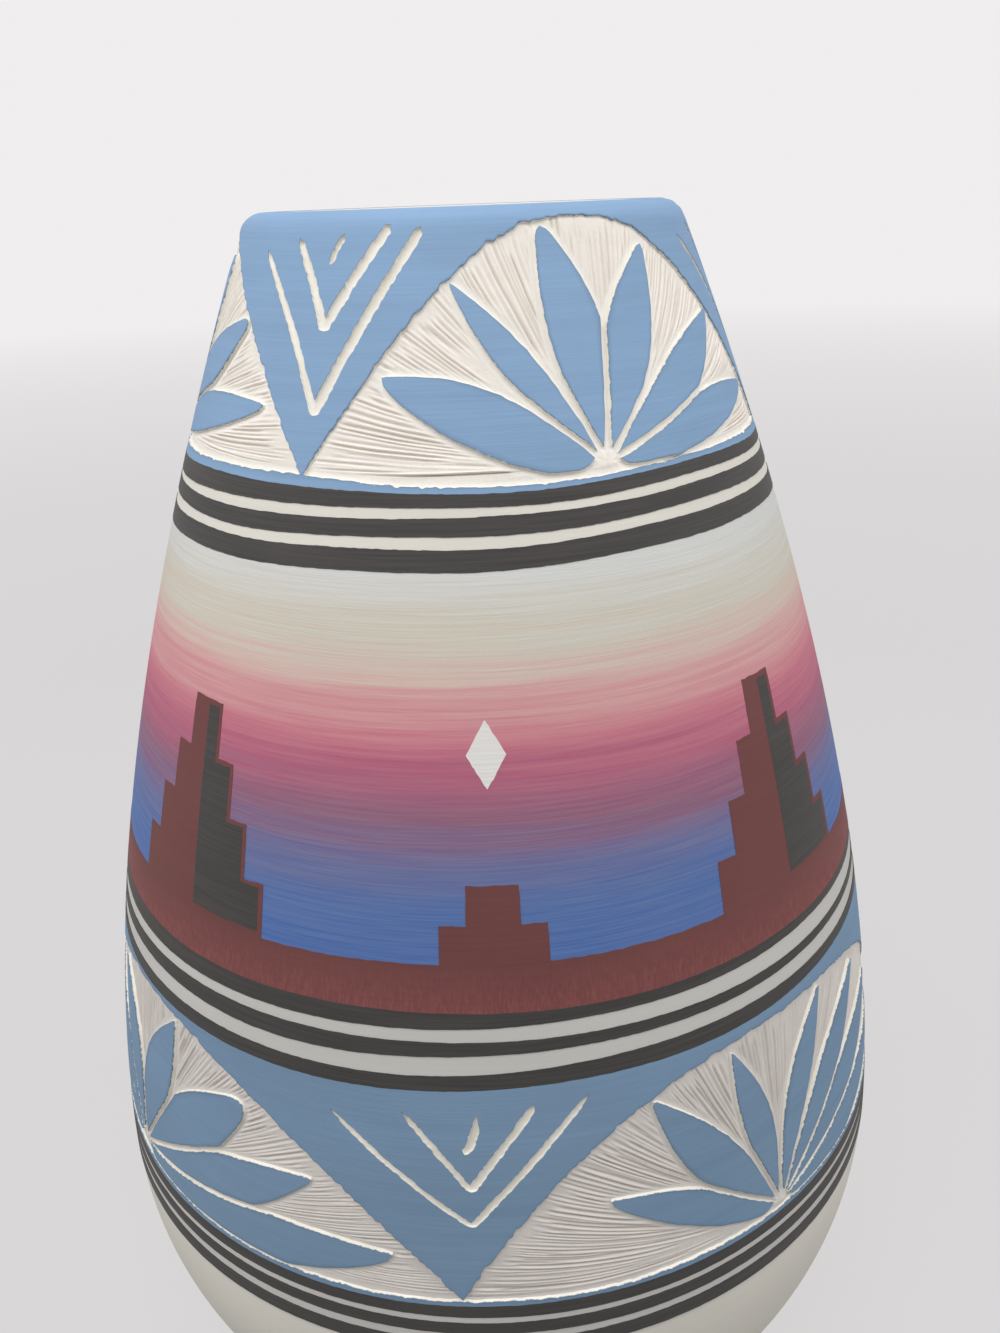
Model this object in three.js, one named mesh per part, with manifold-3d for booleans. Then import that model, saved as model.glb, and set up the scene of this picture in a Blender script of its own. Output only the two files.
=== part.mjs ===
// Etched pottery vase: a slip-cast bottle vase of pale clay with a full low belly, a narrowing shoulder
// and a rounded lip. The clay body carries the fired coats of the decoration: blue slip on the lip and on
// two etched bands, thin black lines in sets of three, and a sunset sky over a red earth ground with
// stepped terraces. In the etched bands the blue slip is scratched away down to the clay inside a row of
// arches, and it stays standing as fans of leaf petals. Nested V grooves are cut between the arches.
//
// Units are millimetres and degrees, +Z is up, and the origin is at the middle of the foot.
// Angles go round the axis from the front, which faces -Y, towards +X.
// A height on the painted surface is measured up the wall, then on round the lip and over its flat top.
import * as THREE from "three";
import { mergeVertices } from "three/addons/utils/BufferGeometryUtils.js";
import Module from "manifold-3d";

const wasm = await Module();
wasm.setup();

// Outer shape
const HEIGHT = 238;
const BELLY_RADIUS = 79.1;
const BELLY_HEIGHT = 63;
const RIM_RADIUS = 36.6;
const FOOT_RADIUS = 50;
const SHOULDER_POWER = 1.68;
const FOOT_POWER = 2.05;

// Wall, lip and foot
const WALL = 5;
const FLOOR = 8;
const FLOOR_FILLET = 3;
const LIP_RADIUS = 4.5;
const LIP_FLAT = 1.4;
const LIP_INNER_RADIUS = 1.2;
const LIP_DEPTH = 7;
const FOOT_EDGE = 2;
const FOOT_RING_WIDTH = 7;
const FOOT_RECESS = 2;

// Coats: slip, paint and glaze lie over the clay, a clearance away from it and from each other
const COAT = 0.4;
const GLAZE = 0.4;
const CLEARANCE = 0.3;

// Sets of black lines from the top line down, and the bare stripes between the lines
const UPPER_LINES = [2.1, 2.55, 3.1];
const UPPER_STRIPES = [1.35, 1.65];
const LOWER_LINES = [1.9, 2.3, 2.6];
const LOWER_STRIPES = [2.2, 2.7];
const FOOT_LINES = [2, 2.3, 2.7];
const FOOT_STRIPES = [1.2, 1.6];

// Etched bands: from the lip down to the upper ground, and from the bare foot up to the lower field
const BARE_FOOT = 63.1;
const UPPER_GROUND_DROP = 36.5;
const UPPER_ARCH_RISE = 35;
const LOWER_ARCH_RISE = 37.2;
const LOWER_FIELD_ABOVE_ARCH = 1.3;
const UPPER_BLUE_LINE = 1;
const LOWER_BLUE_LINE = 0.8;

// Arches round the vase, laid out by hand, each starting where the last one ends: middle, half width, how
// square the shoulders are, how much fuller the petals swell on their right, and where the fan's foot
// stands beside the middle
const UPPER_ARCHES = [
  { middle: 25, half: 55.5, power: 2.2, fuller: 0, foot: -1.6 },
  { middle: 142.75, half: 62.25, power: 2.2, fuller: 0, foot: -1.6 },
  { middle: 267.25, half: 62.25, power: 2.2, fuller: 0, foot: -1.6 },
];
const LOWER_ARCHES = [
  { middle: 41, half: 46.5, power: 2.9, fuller: 0, foot: -3.4 },
  { middle: 128.5, half: 41, power: 2.6, fuller: 1.2, foot: -1.8 },
  { middle: 210.5, half: 41, power: 2.6, fuller: 1.2, foot: -1.8 },
  { middle: 303, half: 51.5, power: 2.2, fuller: 2.4, foot: -1.9 },
];

// Petals of one fan: tip place as a share of the arch's half width, tip height as a share of the arch's
// height there, and how far the petal swells to the left and right of the line from its foot to its tip
const UPPER_PETALS = [
  { reach: -0.742, height: 0.825, left: 4.1, right: 3.9, end: 0.5 },
  { reach: -0.508, height: 0.97, left: 1.9, right: 2.5, end: 0.5 },
  { reach: -0.146, height: 0.97, left: 2.3, right: 5, end: 1.7 },
  { reach: 0.321, height: 0.94, left: 4.7, right: 2.7, end: 0.5 },
  { reach: 0.672, height: 0.96, left: 3.2, right: 3.4, end: 0.5 },
  { reach: 0.83, height: 0.63, left: 3.4, right: 2.5, end: 0.5 },
];
const LOWER_PETALS = [
  { reach: -0.61, height: 0.568, left: 2.8, right: 3.6, end: 0.5 },
  { reach: -0.482, height: 0.972, left: 4.4, right: 3.1, end: 0.5 },
  { reach: -0.228, height: 0.949, left: 2.3, right: 3.5, end: 0.5 },
  { reach: 0.166, height: 0.968, left: 5.4, right: 1, end: 0.5 },
  { reach: 0.437, height: 0.928, left: 4.9, right: 2.2, end: 0.5 },
  { reach: 0.645, height: 0.788, left: 5, right: 2.8, end: 0.5 },
];
const FAN_LIFT = 0.9;
const PARTING = 1.2;
const PETAL_START = 4.5;

// Curve of a petal's side: how far towards the tip it swells most, and how long it stays full. The sides
// that face the ground are fuller and swell nearer to the fan's foot.
const INNER_SIDE = { lean: 1.2, fullness: 1 };
const GROUND_SIDE = { lean: 0.8, fullness: 0.6 };

// Grooves between the arches, given by turn from the arches' meeting and rise above it, and how far the
// middle of the cut bows to its left
const GROOVE = 1.7;
const UPPER_GROOVES = [
  { from: [-20, 31], to: [1, 9], bow: 1.8 },
  { from: [21.5, 33.5], to: [1, 9], bow: -0.8 },
  { from: [-9, 32.5], to: [1, 20.5], bow: 0.5 },
  { from: [14.5, 34], to: [1, 20.5], bow: -0.3 },
  { from: [3.5, 33], to: [0.8, 29.5], bow: 0 },
];
const LOWER_GROOVES = [
  { from: [-15.5, 32.7], to: [1.5, 14.7], bow: 0 },
  { from: [16, 35.7], to: [1.5, 14.7], bow: 0 },
  { from: [-6.5, 34.2], to: [1.5, 21.2], bow: 0 },
  { from: [9.5, 35.2], to: [1.5, 21.2], bow: 0 },
  { from: [2.5, 34.2], to: [1, 27.7], bow: 0 },
];

// Earth ground with stepped terraces, large and small by turns
const EARTH_GROUND = 7.6;
const TERRACE_PAIRS = 4;
const LARGE_TERRACE = { steps: 4, step: 3.4, rise: 8.5 };
const SMALL_TERRACE = { steps: 2, step: 3.4, rise: 6 };
const STEP_EDGE = 0.45;

// Facets
const SEGMENTS = 36;
const ARCH_COLUMNS = 12;
const PETAL_COLUMNS = 6;
const GROOVE_COLUMNS = 2;
const GROUND_TURN = 9;

const DEGREE = Math.PI / 180;
const FULL_TURN = 360;
const COAT_BED = COAT + CLEARANCE;

// Radius of the painted wall at a height
function wallRadius(height) {
  if (height < BELLY_HEIGHT) {
    const below = (BELLY_HEIGHT - height) / BELLY_HEIGHT;
    return BELLY_RADIUS - (BELLY_RADIUS - FOOT_RADIUS) * below ** FOOT_POWER;
  }
  const above = (height - BELLY_HEIGHT) / (HEIGHT - BELLY_HEIGHT);
  return BELLY_RADIUS - (BELLY_RADIUS - RIM_RADIUS) * above ** SHOULDER_POWER;
}

// How far the wall's outward normal points up, as an angle
function wallTilt(height) {
  const reach = 0.01;
  return Math.atan((wallRadius(height - reach) - wallRadius(height + reach)) / (2 * reach));
}

// The lip starts where its round runs smoothly into the wall
function findLipStart() {
  let height = HEIGHT - LIP_RADIUS;
  for (let round = 0; round < 30; round += 1) {
    height = HEIGHT - LIP_RADIUS * (1 - Math.sin(wallTilt(height)));
  }
  return height;
}

const LIP_START = findLipStart();
const LIP_TILT = wallTilt(LIP_START);
const LIP_CENTRE_RADIUS = wallRadius(LIP_START) - LIP_RADIUS * Math.cos(LIP_TILT);
const LIP_CENTRE_HEIGHT = HEIGHT - LIP_RADIUS;
const LIP_END = LIP_START + LIP_RADIUS * (Math.PI / 2 - LIP_TILT);
const SURFACE_END = LIP_END + LIP_FLAT;

// A point of the profile, as radius and level, at a surface height and a depth under the painted surface
function profilePoint(height, depth) {
  if (height > LIP_END) {
    return new THREE.Vector2(LIP_CENTRE_RADIUS - (height - LIP_END), HEIGHT - depth);
  }
  if (height > LIP_START) {
    const tilt = LIP_TILT + (height - LIP_START) / LIP_RADIUS;
    const reach = LIP_RADIUS - depth;
    return new THREE.Vector2(
      LIP_CENTRE_RADIUS + reach * Math.cos(tilt),
      LIP_CENTRE_HEIGHT + reach * Math.sin(tilt),
    );
  }
  const tilt = wallTilt(height);
  return new THREE.Vector2(wallRadius(height) - depth * Math.cos(tilt), height - depth * Math.sin(tilt));
}

// Evenly spaced numbers from one value to another, both included
function spread(from, to, count) {
  return Array.from({ length: count + 1 }, (_, index) => from + ((to - from) * index) / count);
}

// A ring or vessel turned from a profile of radius and level points, with +Z up
function turned(points) {
  return new THREE.LatheGeometry(points, SEGMENTS).rotateX(Math.PI / 2);
}

// A coat on the painted surface, from a grid of [angle, height] points, between two depths.
// Rows of the grid run up, columns run round, and a closed grid joins its last column to its first.
function coatGeometry(grid, closed, top = 0, bottom = COAT) {
  const rows = grid[0].length;
  const positions = [];
  for (const depth of [top, bottom]) {
    for (const column of grid) {
      for (const [angle, height] of column) {
        const point = profilePoint(height, depth);
        const turn = (angle % FULL_TURN) * DEGREE;
        positions.push(point.x * Math.sin(turn), -point.x * Math.cos(turn), point.y);
      }
    }
  }
  const outer = (column, row) => (column % grid.length) * rows + row;
  const inner = (column, row) => outer(column, row) + grid.length * rows;
  const indices = [];
  const quad = (a, b, c, d) => indices.push(a, b, c, a, c, d);
  const spans = closed ? grid.length : grid.length - 1;
  const last = rows - 1;
  for (let column = 0; column < spans; column += 1) {
    const next = column + 1;
    for (let row = 0; row < last; row += 1) {
      quad(outer(column, row), outer(next, row), outer(next, row + 1), outer(column, row + 1));
      quad(inner(column, row + 1), inner(next, row + 1), inner(next, row), inner(column, row));
    }
    quad(inner(column, 0), inner(next, 0), outer(next, 0), outer(column, 0));
    quad(outer(column, last), outer(next, last), inner(next, last), inner(column, last));
  }
  if (!closed) {
    for (let row = 0; row < last; row += 1) {
      quad(outer(0, row), outer(0, row + 1), inner(0, row + 1), inner(0, row));
      quad(inner(spans, row), inner(spans, row + 1), outer(spans, row + 1), outer(spans, row));
    }
  }
  const geometry = new THREE.BufferGeometry();
  geometry.setAttribute("position", new THREE.Float32BufferAttribute(positions, 3));
  geometry.setIndex(indices);
  return geometry;
}

// Turns geometry into a solid for cutting, and back
function toSolid(geometry) {
  const bare = geometry.clone();
  bare.deleteAttribute("normal");
  bare.deleteAttribute("uv");
  const merged = mergeVertices(bare);
  return new wasm.Manifold(
    new wasm.Mesh({
      numProp: 3,
      vertProperties: new Float32Array(merged.attributes.position.array),
      triVerts: new Uint32Array(merged.index.array),
    }),
  );
}

function toGeometry(solid) {
  const mesh = solid.getMesh();
  const geometry = new THREE.BufferGeometry();
  geometry.setAttribute("position", new THREE.BufferAttribute(mesh.vertProperties, 3));
  geometry.setIndex(new THREE.BufferAttribute(mesh.triVerts, 1));
  return geometry;
}

// Finishes
const finish = (color, roughness) => new THREE.MeshStandardMaterial({ color, roughness, metalness: 0 });
const CLAY = () => finish("#e4ddd2", 0.9);
const CLEAR_GLAZE = () => finish("#e8e3d8", 0.2);
const BLUE = () => finish("#8aaace", 0.8);
const BLACK = () => finish("#3b3937", 0.75);
const SUNSET = () => finish("#c99aa4", 0.8);
const EARTH = () => finish("#73443f", 0.8);

const vase = new THREE.Group();

function addPart(parent, name, geometry, material) {
  const mesh = new THREE.Mesh(geometry, material);
  mesh.name = name;
  parent.add(mesh);
}

// Levels of the decoration, from the foot up and from the lip down
const total = (widths) => widths.reduce((sum, width) => sum + width, 0);
const FOOT_LINES_TOP = BARE_FOOT + total(FOOT_LINES) + total(FOOT_STRIPES);
const LOWER_BLUE_LINE_BASE = FOOT_LINES_TOP + CLEARANCE;
const LOWER_GROUND = LOWER_BLUE_LINE_BASE + LOWER_BLUE_LINE + CLEARANCE;
const LOWER_FIELD_TOP = LOWER_GROUND + LOWER_ARCH_RISE + LOWER_FIELD_ABOVE_ARCH;
const LOWER_LINES_BASE = LOWER_FIELD_TOP + CLEARANCE;
const LOWER_LINES_TOP = LOWER_LINES_BASE + total(LOWER_LINES) + total(LOWER_STRIPES);
const EARTH_BASE = LOWER_LINES_TOP + CLEARANCE;
const EARTH_TOP = EARTH_BASE + EARTH_GROUND;
const UPPER_GROUND = HEIGHT - UPPER_GROUND_DROP;
const UPPER_BLUE_LINE_BASE = UPPER_GROUND - CLEARANCE - UPPER_BLUE_LINE;
const UPPER_LINES_TOP = UPPER_BLUE_LINE_BASE - CLEARANCE;
const UPPER_LINES_BASE = UPPER_LINES_TOP - total(UPPER_LINES) - total(UPPER_STRIPES);
const SKY_TOP = UPPER_LINES_BASE - CLEARANCE;

// The inner wall follows the outer one at the wall's thickness, down to the fillet round the floor
function findFloorHeight() {
  let height = FLOOR + FLOOR_FILLET;
  for (let round = 0; round < 30; round += 1) {
    height = FLOOR + FLOOR_FILLET + WALL * Math.sin(wallTilt(height));
  }
  return height;
}

const INNER_WALL = [
  ...spread(HEIGHT - LIP_DEPTH, BELLY_HEIGHT, 6).slice(0, -1),
  ...spread(BELLY_HEIGHT, findFloorHeight(), 5),
].map((height) => profilePoint(height, WALL));
const FLOOR_EDGE = INNER_WALL.at(-1).x - 2 * FLOOR_FILLET;
const MOUTH_RADIUS = LIP_CENTRE_RADIUS - LIP_FLAT - LIP_INNER_RADIUS;

// Clay body: foot ring with a shallow recess, bare foot, bed for the coats, lip, inner wall and floor
function clayBody() {
  const ringOuter = FOOT_RADIUS - FOOT_EDGE;
  const ringInner = ringOuter - FOOT_RING_WIDTH;
  const coatedFrom = BARE_FOOT - CLEARANCE;
  const points = [
    new THREE.Vector2(0, FOOT_RECESS),
    new THREE.Vector2(ringInner - FOOT_RECESS, FOOT_RECESS),
    new THREE.Vector2(ringInner, 0),
    new THREE.Vector2(ringOuter, 0),
    ...spread(FOOT_EDGE, coatedFrom, 7).map((height) => profilePoint(height, 0)),
    ...spread(coatedFrom, LIP_START, 10).map((height) => profilePoint(height, COAT_BED)),
    ...spread(LIP_START, LIP_END, 3).slice(1).map((height) => profilePoint(height, COAT_BED)),
    profilePoint(SURFACE_END, COAT_BED),
    new THREE.Vector2(MOUTH_RADIUS, HEIGHT - COAT_BED - LIP_INNER_RADIUS),
    ...INNER_WALL,
    new THREE.Vector2(FLOOR_EDGE, FLOOR),
    new THREE.Vector2(0, FLOOR),
  ];
  addPart(vase, "clay_body", turned(points), CLAY());
}

// Clear glaze over the inner wall and the floor
function innerGlaze() {
  const face = (gap) => [
    ...INNER_WALL.map((point) => new THREE.Vector2(point.x - gap, point.y)),
    new THREE.Vector2(FLOOR_EDGE - gap, FLOOR + gap),
    new THREE.Vector2(0, FLOOR + gap),
  ];
  const points = [...face(CLEARANCE).reverse(), ...face(CLEARANCE + GLAZE)];
  addPart(vase, "inner_glaze", turned(points), CLEAR_GLAZE());
}

// A plain ring of coat between two heights
function coatRing(name, from, to, material) {
  const heights = [from, to];
  const points = [
    ...heights.map((height) => profilePoint(height, 0)),
    ...heights.reverse().map((height) => profilePoint(height, COAT)),
  ];
  addPart(vase, name, turned([...points, points[0]]), material);
}

// A set of black lines, numbered from the top down, with bare stripes between them
function lineSet(name, top, lines, stripes) {
  let level = top;
  lines.forEach((width, index) => {
    coatRing(`${name}_black_line_${index + 1}`, level - width, level, BLACK());
    level -= width + (stripes[index] ?? 0);
  });
}

// Height of an arch over its ground, at a share of its half width from its middle
function archHeight({ power }, rise, share) {
  return rise * (1 - Math.abs(share) ** power);
}

// Blue field over a row of arches: its lower edge follows the arches and meets the ground between them
function archedGrid(arches, ground, rise, lowerRows, upperRows, start, end) {
  return arches.flatMap((arch) =>
    spread(-1, 1, ARCH_COLUMNS).slice(0, -1).map((share) => {
      const edge = ground + archHeight(arch, rise, share);
      const bend = Math.max(start, edge + (end - edge) / upperRows);
      const heights = [...spread(edge, bend, lowerRows).slice(0, -1), ...spread(bend, end, upperRows)];
      return heights.map((height) => [arch.middle + share * arch.half, height]);
    }));
}

// A cut through a coat, from one [angle, height] point to another
function grooveSolid(from, to, bow) {
  const scale = wallRadius((from[1] + to[1]) / 2) * DEGREE;
  const along = new THREE.Vector2((to[0] - from[0]) * scale, to[1] - from[1]).normalize();
  const side = new THREE.Vector2(-along.y / scale, along.x);
  const grid = spread(0, 1, GROOVE_COLUMNS).map((share) => {
    const angle = from[0] + (to[0] - from[0]) * share;
    const height = from[1] + (to[1] - from[1]) * share;
    const middle = bow * Math.sin(Math.PI * share);
    return [middle - GROOVE / 2, middle + GROOVE / 2]
      .map((across) => [angle + side.x * across, height + side.y * across]);
  });
  return toSolid(coatGeometry(grid, false, -COAT_BED, COAT_BED));
}

function etchedField(name, grid, arches, grooves, ground) {
  let field = toSolid(coatGeometry(grid, true));
  for (const { middle, half } of arches) {
    const meeting = middle - half;
    for (const { from, to, bow } of grooves) {
      const ends = [from, to].map(([turn, rise]) => [meeting + turn, ground + rise]);
      const cut = grooveSolid(ends[0], ends[1], bow);
      field = field.subtract(cut);
    }
  }
  addPart(vase, name, toGeometry(field), BLUE());
}

// The line from a fan's foot to a petal's tip
function petalLine(arch, ground, rise, { reach, height }) {
  const foot = [arch.middle + arch.foot, ground + FAN_LIFT];
  const tip = [arch.middle + reach * arch.half, ground + height * archHeight(arch, rise, reach)];
  const scale = wallRadius((foot[1] + tip[1]) / 2) * DEGREE;
  const along = new THREE.Vector2((tip[0] - foot[0]) * scale, tip[1] - foot[1]);
  return { foot, tip, scale, length: along.length(), heading: along.angle() };
}

// How far a side can swell at a distance from the foot: as far as the groove to the next petal, which
// parts them by their swells, or as far as the ground under the fan's outer petals
function sideRoom(line, next, swell, nextSwell) {
  if (!next) {
    const slope = Math.abs(Math.tan(line.heading));
    return (distance) => distance * slope + FAN_LIFT - CLEARANCE;
  }
  const parting = (Math.abs(next.heading - line.heading) * swell) / (swell + nextSwell);
  return (distance) => distance * Math.tan(parting) - PARTING / 2;
}

// A leaf petal from near the fan's foot to its tip, with a swell, a room and a curve for each side
function petal(parent, name, line, left, right, end) {
  const { foot, tip, scale, length, heading } = line;
  const side = new THREE.Vector2(-Math.sin(heading) / scale, Math.cos(heading));
  const grid = spread(PETAL_START / length, 1, PETAL_COLUMNS).map((share) => {
    const angle = foot[0] + (tip[0] - foot[0]) * share;
    const height = foot[1] + (tip[1] - foot[1]) * share;
    const [leftReach, rightReach] = [left, right].map(({ swell, room, curve }) => {
      const swollen = Math.max(0, Math.sin(Math.PI * share ** curve.lean)) ** curve.fullness;
      return Math.max(Math.min(swell * swollen + end / 2, room(share * length)), end / 2);
    });
    return [-rightReach, 0, leftReach].map((across) => [angle + side.x * across, height + side.y * across]);
  });
  addPart(parent, name, coatGeometry(grid, false), BLUE());
}

function petalFans(name, arches, petals, ground, rise) {
  arches.forEach((arch, fan) => {
    const group = new THREE.Group();
    const leaves = petals.map((leaf) => ({ ...leaf, right: leaf.right + arch.fuller }));
    const lines = leaves.map((leaf) => petalLine(arch, ground, rise, leaf));
    leaves.forEach(({ left, right, end }, index) => {
      const line = lines[index];
      const leftRoom = sideRoom(line, lines[index - 1], left, leaves[index - 1]?.right);
      const rightRoom = sideRoom(line, lines[index + 1], right, leaves[index + 1]?.left);
      petal(
        group,
        `${name}_fan_${fan + 1}_petal_${index + 1}`,
        line,
        { swell: left, room: leftRoom, curve: index > 0 ? INNER_SIDE : GROUND_SIDE },
        { swell: right, room: rightRoom, curve: leaves[index + 1] ? INNER_SIDE : GROUND_SIDE },
        end,
      );
    });
    vase.add(group);
  });
}

// The terraces' outline round the vase as [angle, rise] corners, spread outwards by a margin
function terraceCorners(margin) {
  const scale = wallRadius(EARTH_TOP) * DEGREE;
  const pitch = FULL_TURN / TERRACE_PAIRS;
  const corners = [];
  for (let pair = 0; pair < TERRACE_PAIRS; pair += 1) {
    for (const [terrace, turn] of [[SMALL_TERRACE, 0], [LARGE_TERRACE, pitch / 2]]) {
      const middle = pair * pitch + turn;
      const side = [];
      for (let step = 0; step < terrace.steps; step += 1) {
        const reach = (terrace.steps - step) * terrace.step + margin / scale;
        side.push([reach, step * terrace.rise], [reach - STEP_EDGE / scale, (step + 1) * terrace.rise]);
      }
      side.forEach(([reach, rise]) => corners.push([middle - reach, rise]));
      side.reverse().forEach(([reach, rise]) => corners.push([middle + reach, rise]));
    }
  }
  return corners.flatMap(([angle, rise], index) => {
    const next = corners[index + 1] ?? [corners[0][0] + FULL_TURN, corners[0][1]];
    const parts = Math.ceil((next[0] - angle) / GROUND_TURN);
    return spread(0, 1, parts).slice(0, -1).map((share) => [
      angle + (next[0] - angle) * share,
      rise + (next[1] - rise) * share,
    ]);
  });
}

function redEarth() {
  const grid = terraceCorners(0).map(([angle, rise]) =>
    spread(EARTH_BASE, EARTH_TOP + rise, 2).map((height) => [angle, height]));
  addPart(vase, "red_earth", coatGeometry(grid, true), EARTH());
}

function sunsetSky() {
  const grid = terraceCorners(CLEARANCE).map(([angle, rise]) =>
    spread(EARTH_TOP + CLEARANCE + rise, SKY_TOP, 3).map((height) => [angle, height]));
  addPart(vase, "sunset_sky", coatGeometry(grid, true), SUNSET());
}

clayBody();
innerGlaze();

const upperGrid = archedGrid(UPPER_ARCHES, UPPER_GROUND, UPPER_ARCH_RISE, 3, 4, LIP_START, SURFACE_END);
etchedField("upper_blue_field", upperGrid, UPPER_ARCHES, UPPER_GROOVES, UPPER_GROUND);
petalFans("upper", UPPER_ARCHES, UPPER_PETALS, UPPER_GROUND, UPPER_ARCH_RISE);
coatRing("upper_blue_line", UPPER_BLUE_LINE_BASE, UPPER_BLUE_LINE_BASE + UPPER_BLUE_LINE, BLUE());
lineSet("upper", UPPER_LINES_TOP, UPPER_LINES, UPPER_STRIPES);

sunsetSky();
redEarth();
lineSet("lower", LOWER_LINES_TOP, LOWER_LINES, LOWER_STRIPES);

const lowerGrid = archedGrid(LOWER_ARCHES, LOWER_GROUND, LOWER_ARCH_RISE, 3, 1, 0, LOWER_FIELD_TOP);
etchedField("lower_blue_field", lowerGrid, LOWER_ARCHES, LOWER_GROOVES, LOWER_GROUND);
petalFans("lower", LOWER_ARCHES, LOWER_PETALS, LOWER_GROUND, LOWER_ARCH_RISE);
coatRing("lower_blue_line", LOWER_BLUE_LINE_BASE, LOWER_BLUE_LINE_BASE + LOWER_BLUE_LINE, BLUE());
lineSet("foot", FOOT_LINES_TOP, FOOT_LINES, FOOT_STRIPES);

export default vase;
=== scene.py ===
"""Looks of an etched pottery vase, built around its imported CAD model.

The vase is a pale clay body with fired coats: blue slip on the lip and on two etched bands, black lines
in sets of three, and a sunset band over red earth with stepped terraces. In the etched bands the slip is
scratched away inside a row of arches, down to the clay, and stands as fans of leaf petals.

Lengths are in millimetres and angles in degrees until a piece is wrapped on the vase, in metres.
Angles go round the axis from the front, which faces -Y, towards +X. A height on the painted surface is
measured up the wall, then on round the lip and over its flat top. A depth is measured into the clay.
A seed picks the hand-made unevenness of one edge, so that each edge is ragged in its own way.
"""

import math
from collections import namedtuple

import bpy
import numpy as np
from mathutils import Matrix, Vector


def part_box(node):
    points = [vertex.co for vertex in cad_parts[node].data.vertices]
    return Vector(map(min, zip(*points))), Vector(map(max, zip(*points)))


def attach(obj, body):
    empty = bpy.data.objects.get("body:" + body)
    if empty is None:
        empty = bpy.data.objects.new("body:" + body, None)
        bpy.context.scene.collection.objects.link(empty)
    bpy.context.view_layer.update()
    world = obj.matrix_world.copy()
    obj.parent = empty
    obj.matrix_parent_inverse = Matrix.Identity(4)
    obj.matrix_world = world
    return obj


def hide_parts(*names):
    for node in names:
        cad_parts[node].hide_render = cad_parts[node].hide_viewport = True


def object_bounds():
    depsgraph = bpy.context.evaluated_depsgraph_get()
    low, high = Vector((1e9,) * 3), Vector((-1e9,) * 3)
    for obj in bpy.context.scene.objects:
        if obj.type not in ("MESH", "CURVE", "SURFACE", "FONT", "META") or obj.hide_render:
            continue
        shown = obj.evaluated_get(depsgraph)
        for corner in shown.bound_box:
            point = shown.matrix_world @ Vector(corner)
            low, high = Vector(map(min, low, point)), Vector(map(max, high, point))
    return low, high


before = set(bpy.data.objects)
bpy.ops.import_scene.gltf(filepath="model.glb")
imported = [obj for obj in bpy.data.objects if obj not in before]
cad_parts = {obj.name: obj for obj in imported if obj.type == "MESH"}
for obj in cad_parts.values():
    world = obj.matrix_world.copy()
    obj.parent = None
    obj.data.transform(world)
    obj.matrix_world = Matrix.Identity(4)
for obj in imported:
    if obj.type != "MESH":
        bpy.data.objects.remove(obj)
CAD_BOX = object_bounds()

bl_info = {
    "name": "Etched Pottery Vase",
    "version": (1, 0, 0),
    "blender": (4, 5, 0),
    "location": "View3D > Sidebar > Vase",
    "description": "Models the coats, etching and glaze of a hand-etched pottery vase",
    "category": "Add Mesh",
}

MM = 0.001
DEGREE = math.pi / 180
FULL_TURN = 360.0
BODY = "root"

# Outer shape: the CAD box gives the height and the belly, the rest is the part's profile
HEIGHT = CAD_BOX[1][2] / MM
BELLY_RADIUS = CAD_BOX[1][0] / MM
BELLY_HEIGHT = 63.0
RIM_RADIUS = 36.6
FOOT_RADIUS = 50.0
SHOULDER_POWER = 1.68
FOOT_POWER = 2.05

# Wall, lip and foot
WALL = 5.0
FLOOR = 8.0
FLOOR_FILLET = 3.0
LIP_RADIUS = 4.5
LIP_FLAT = 1.4
LIP_INNER_RADIUS = 1.2
LIP_DEPTH = 7.0
FOOT_EDGE = 2.0
FOOT_RING_WIDTH = 7.0
FOOT_RECESS = 2.0
GLAZE_GAP = 0.3
GLAZE = 0.4

# Depths of the layers under the painted surface
BLACK_TOP = 0.02
WHITE_TOP = 0.04
EARTH_TOP = 0.04
SLIP_TOP = 0.05
SKY_TOP_DEPTH = 0.09
BARE_CLAY = 0.13
MARK_ROOT = 0.3
COAT = 0.4
UNDER_COATS = 0.6
ETCH_FLOOR = 0.62
GROOVE_FLOOR = 0.55
SLIP_ROOT = 1.25
UNDER_ETCHING = 1.6

# How finely the pieces are drawn: columns round a painted ring, the sunset and a blue line, spacing of the
# columns along an arch in the scratched ground and in the blue field, and along the terraces
RING_COLUMNS = 480
SUNSET_COLUMNS = 320
SLIP_LINE_COLUMNS = 1200
GROUND_SPACING = 0.14
FIELD_SPACING = 0.33
TERRACE_SPACING = 0.5
GROUND_ROWS = 52
GROUND_BACK_ROWS = 6
GROUND_BASE_COLUMNS = 90
PETAL_STEPS = 56
GROOVE_STEPS = 90

# How ragged the edges are: size of the chips and their pitch. Each edge of a black line also wanders by a
# share of the line's own wander. Teeth are the taller chips, cut off below a floor.
RING_FRAY = 0.05
EDGE_WANDER = 0.6
TERRACE_CHIPS = (0.09, 1.3)
PETAL_CHIPS = (0.1, 1.1)
FIELD_CHIPS = ((0.16, 0.75), (0.1, 2.6))
FIELD_TEETH = (0.6, 1.1)
SLIP_LINE_TEETH = (0.5, 1.3)
TEETH_FLOOR = 0.25
GROOVE_CHIPS = ((0.11, 0.5), (0.07, 1.9))

# Scratches, in shares of the pitch between them, millimetres, and shares of the way out from the fan's foot
SCRATCH_SPACING = (0.45, 1.25)
SCRATCH_WIDTHS = (0.2, 0.42)
LONG_SCRATCHES = 0.7
LONG_STARTS = (0.1, 0.55)
SHORT_STARTS = (0.55, 0.8)
SCRATCH_ENDS = (0.9, 1.02)
SCRATCH_BEND = 0.6
SCRATCH_WAVE = 0.05
SCRATCH_WEIGHTS = (0.3, 1.0)
BURR_WIDTH = 0.18
BURR_HEIGHT = 0.14
PETAL_GROOVE_DEPTH = 0.16
FOOT_LUMP_RADIUS = 2.1


def entries(kind, *rows):
    return tuple(kind(*row) for row in rows)


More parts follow.
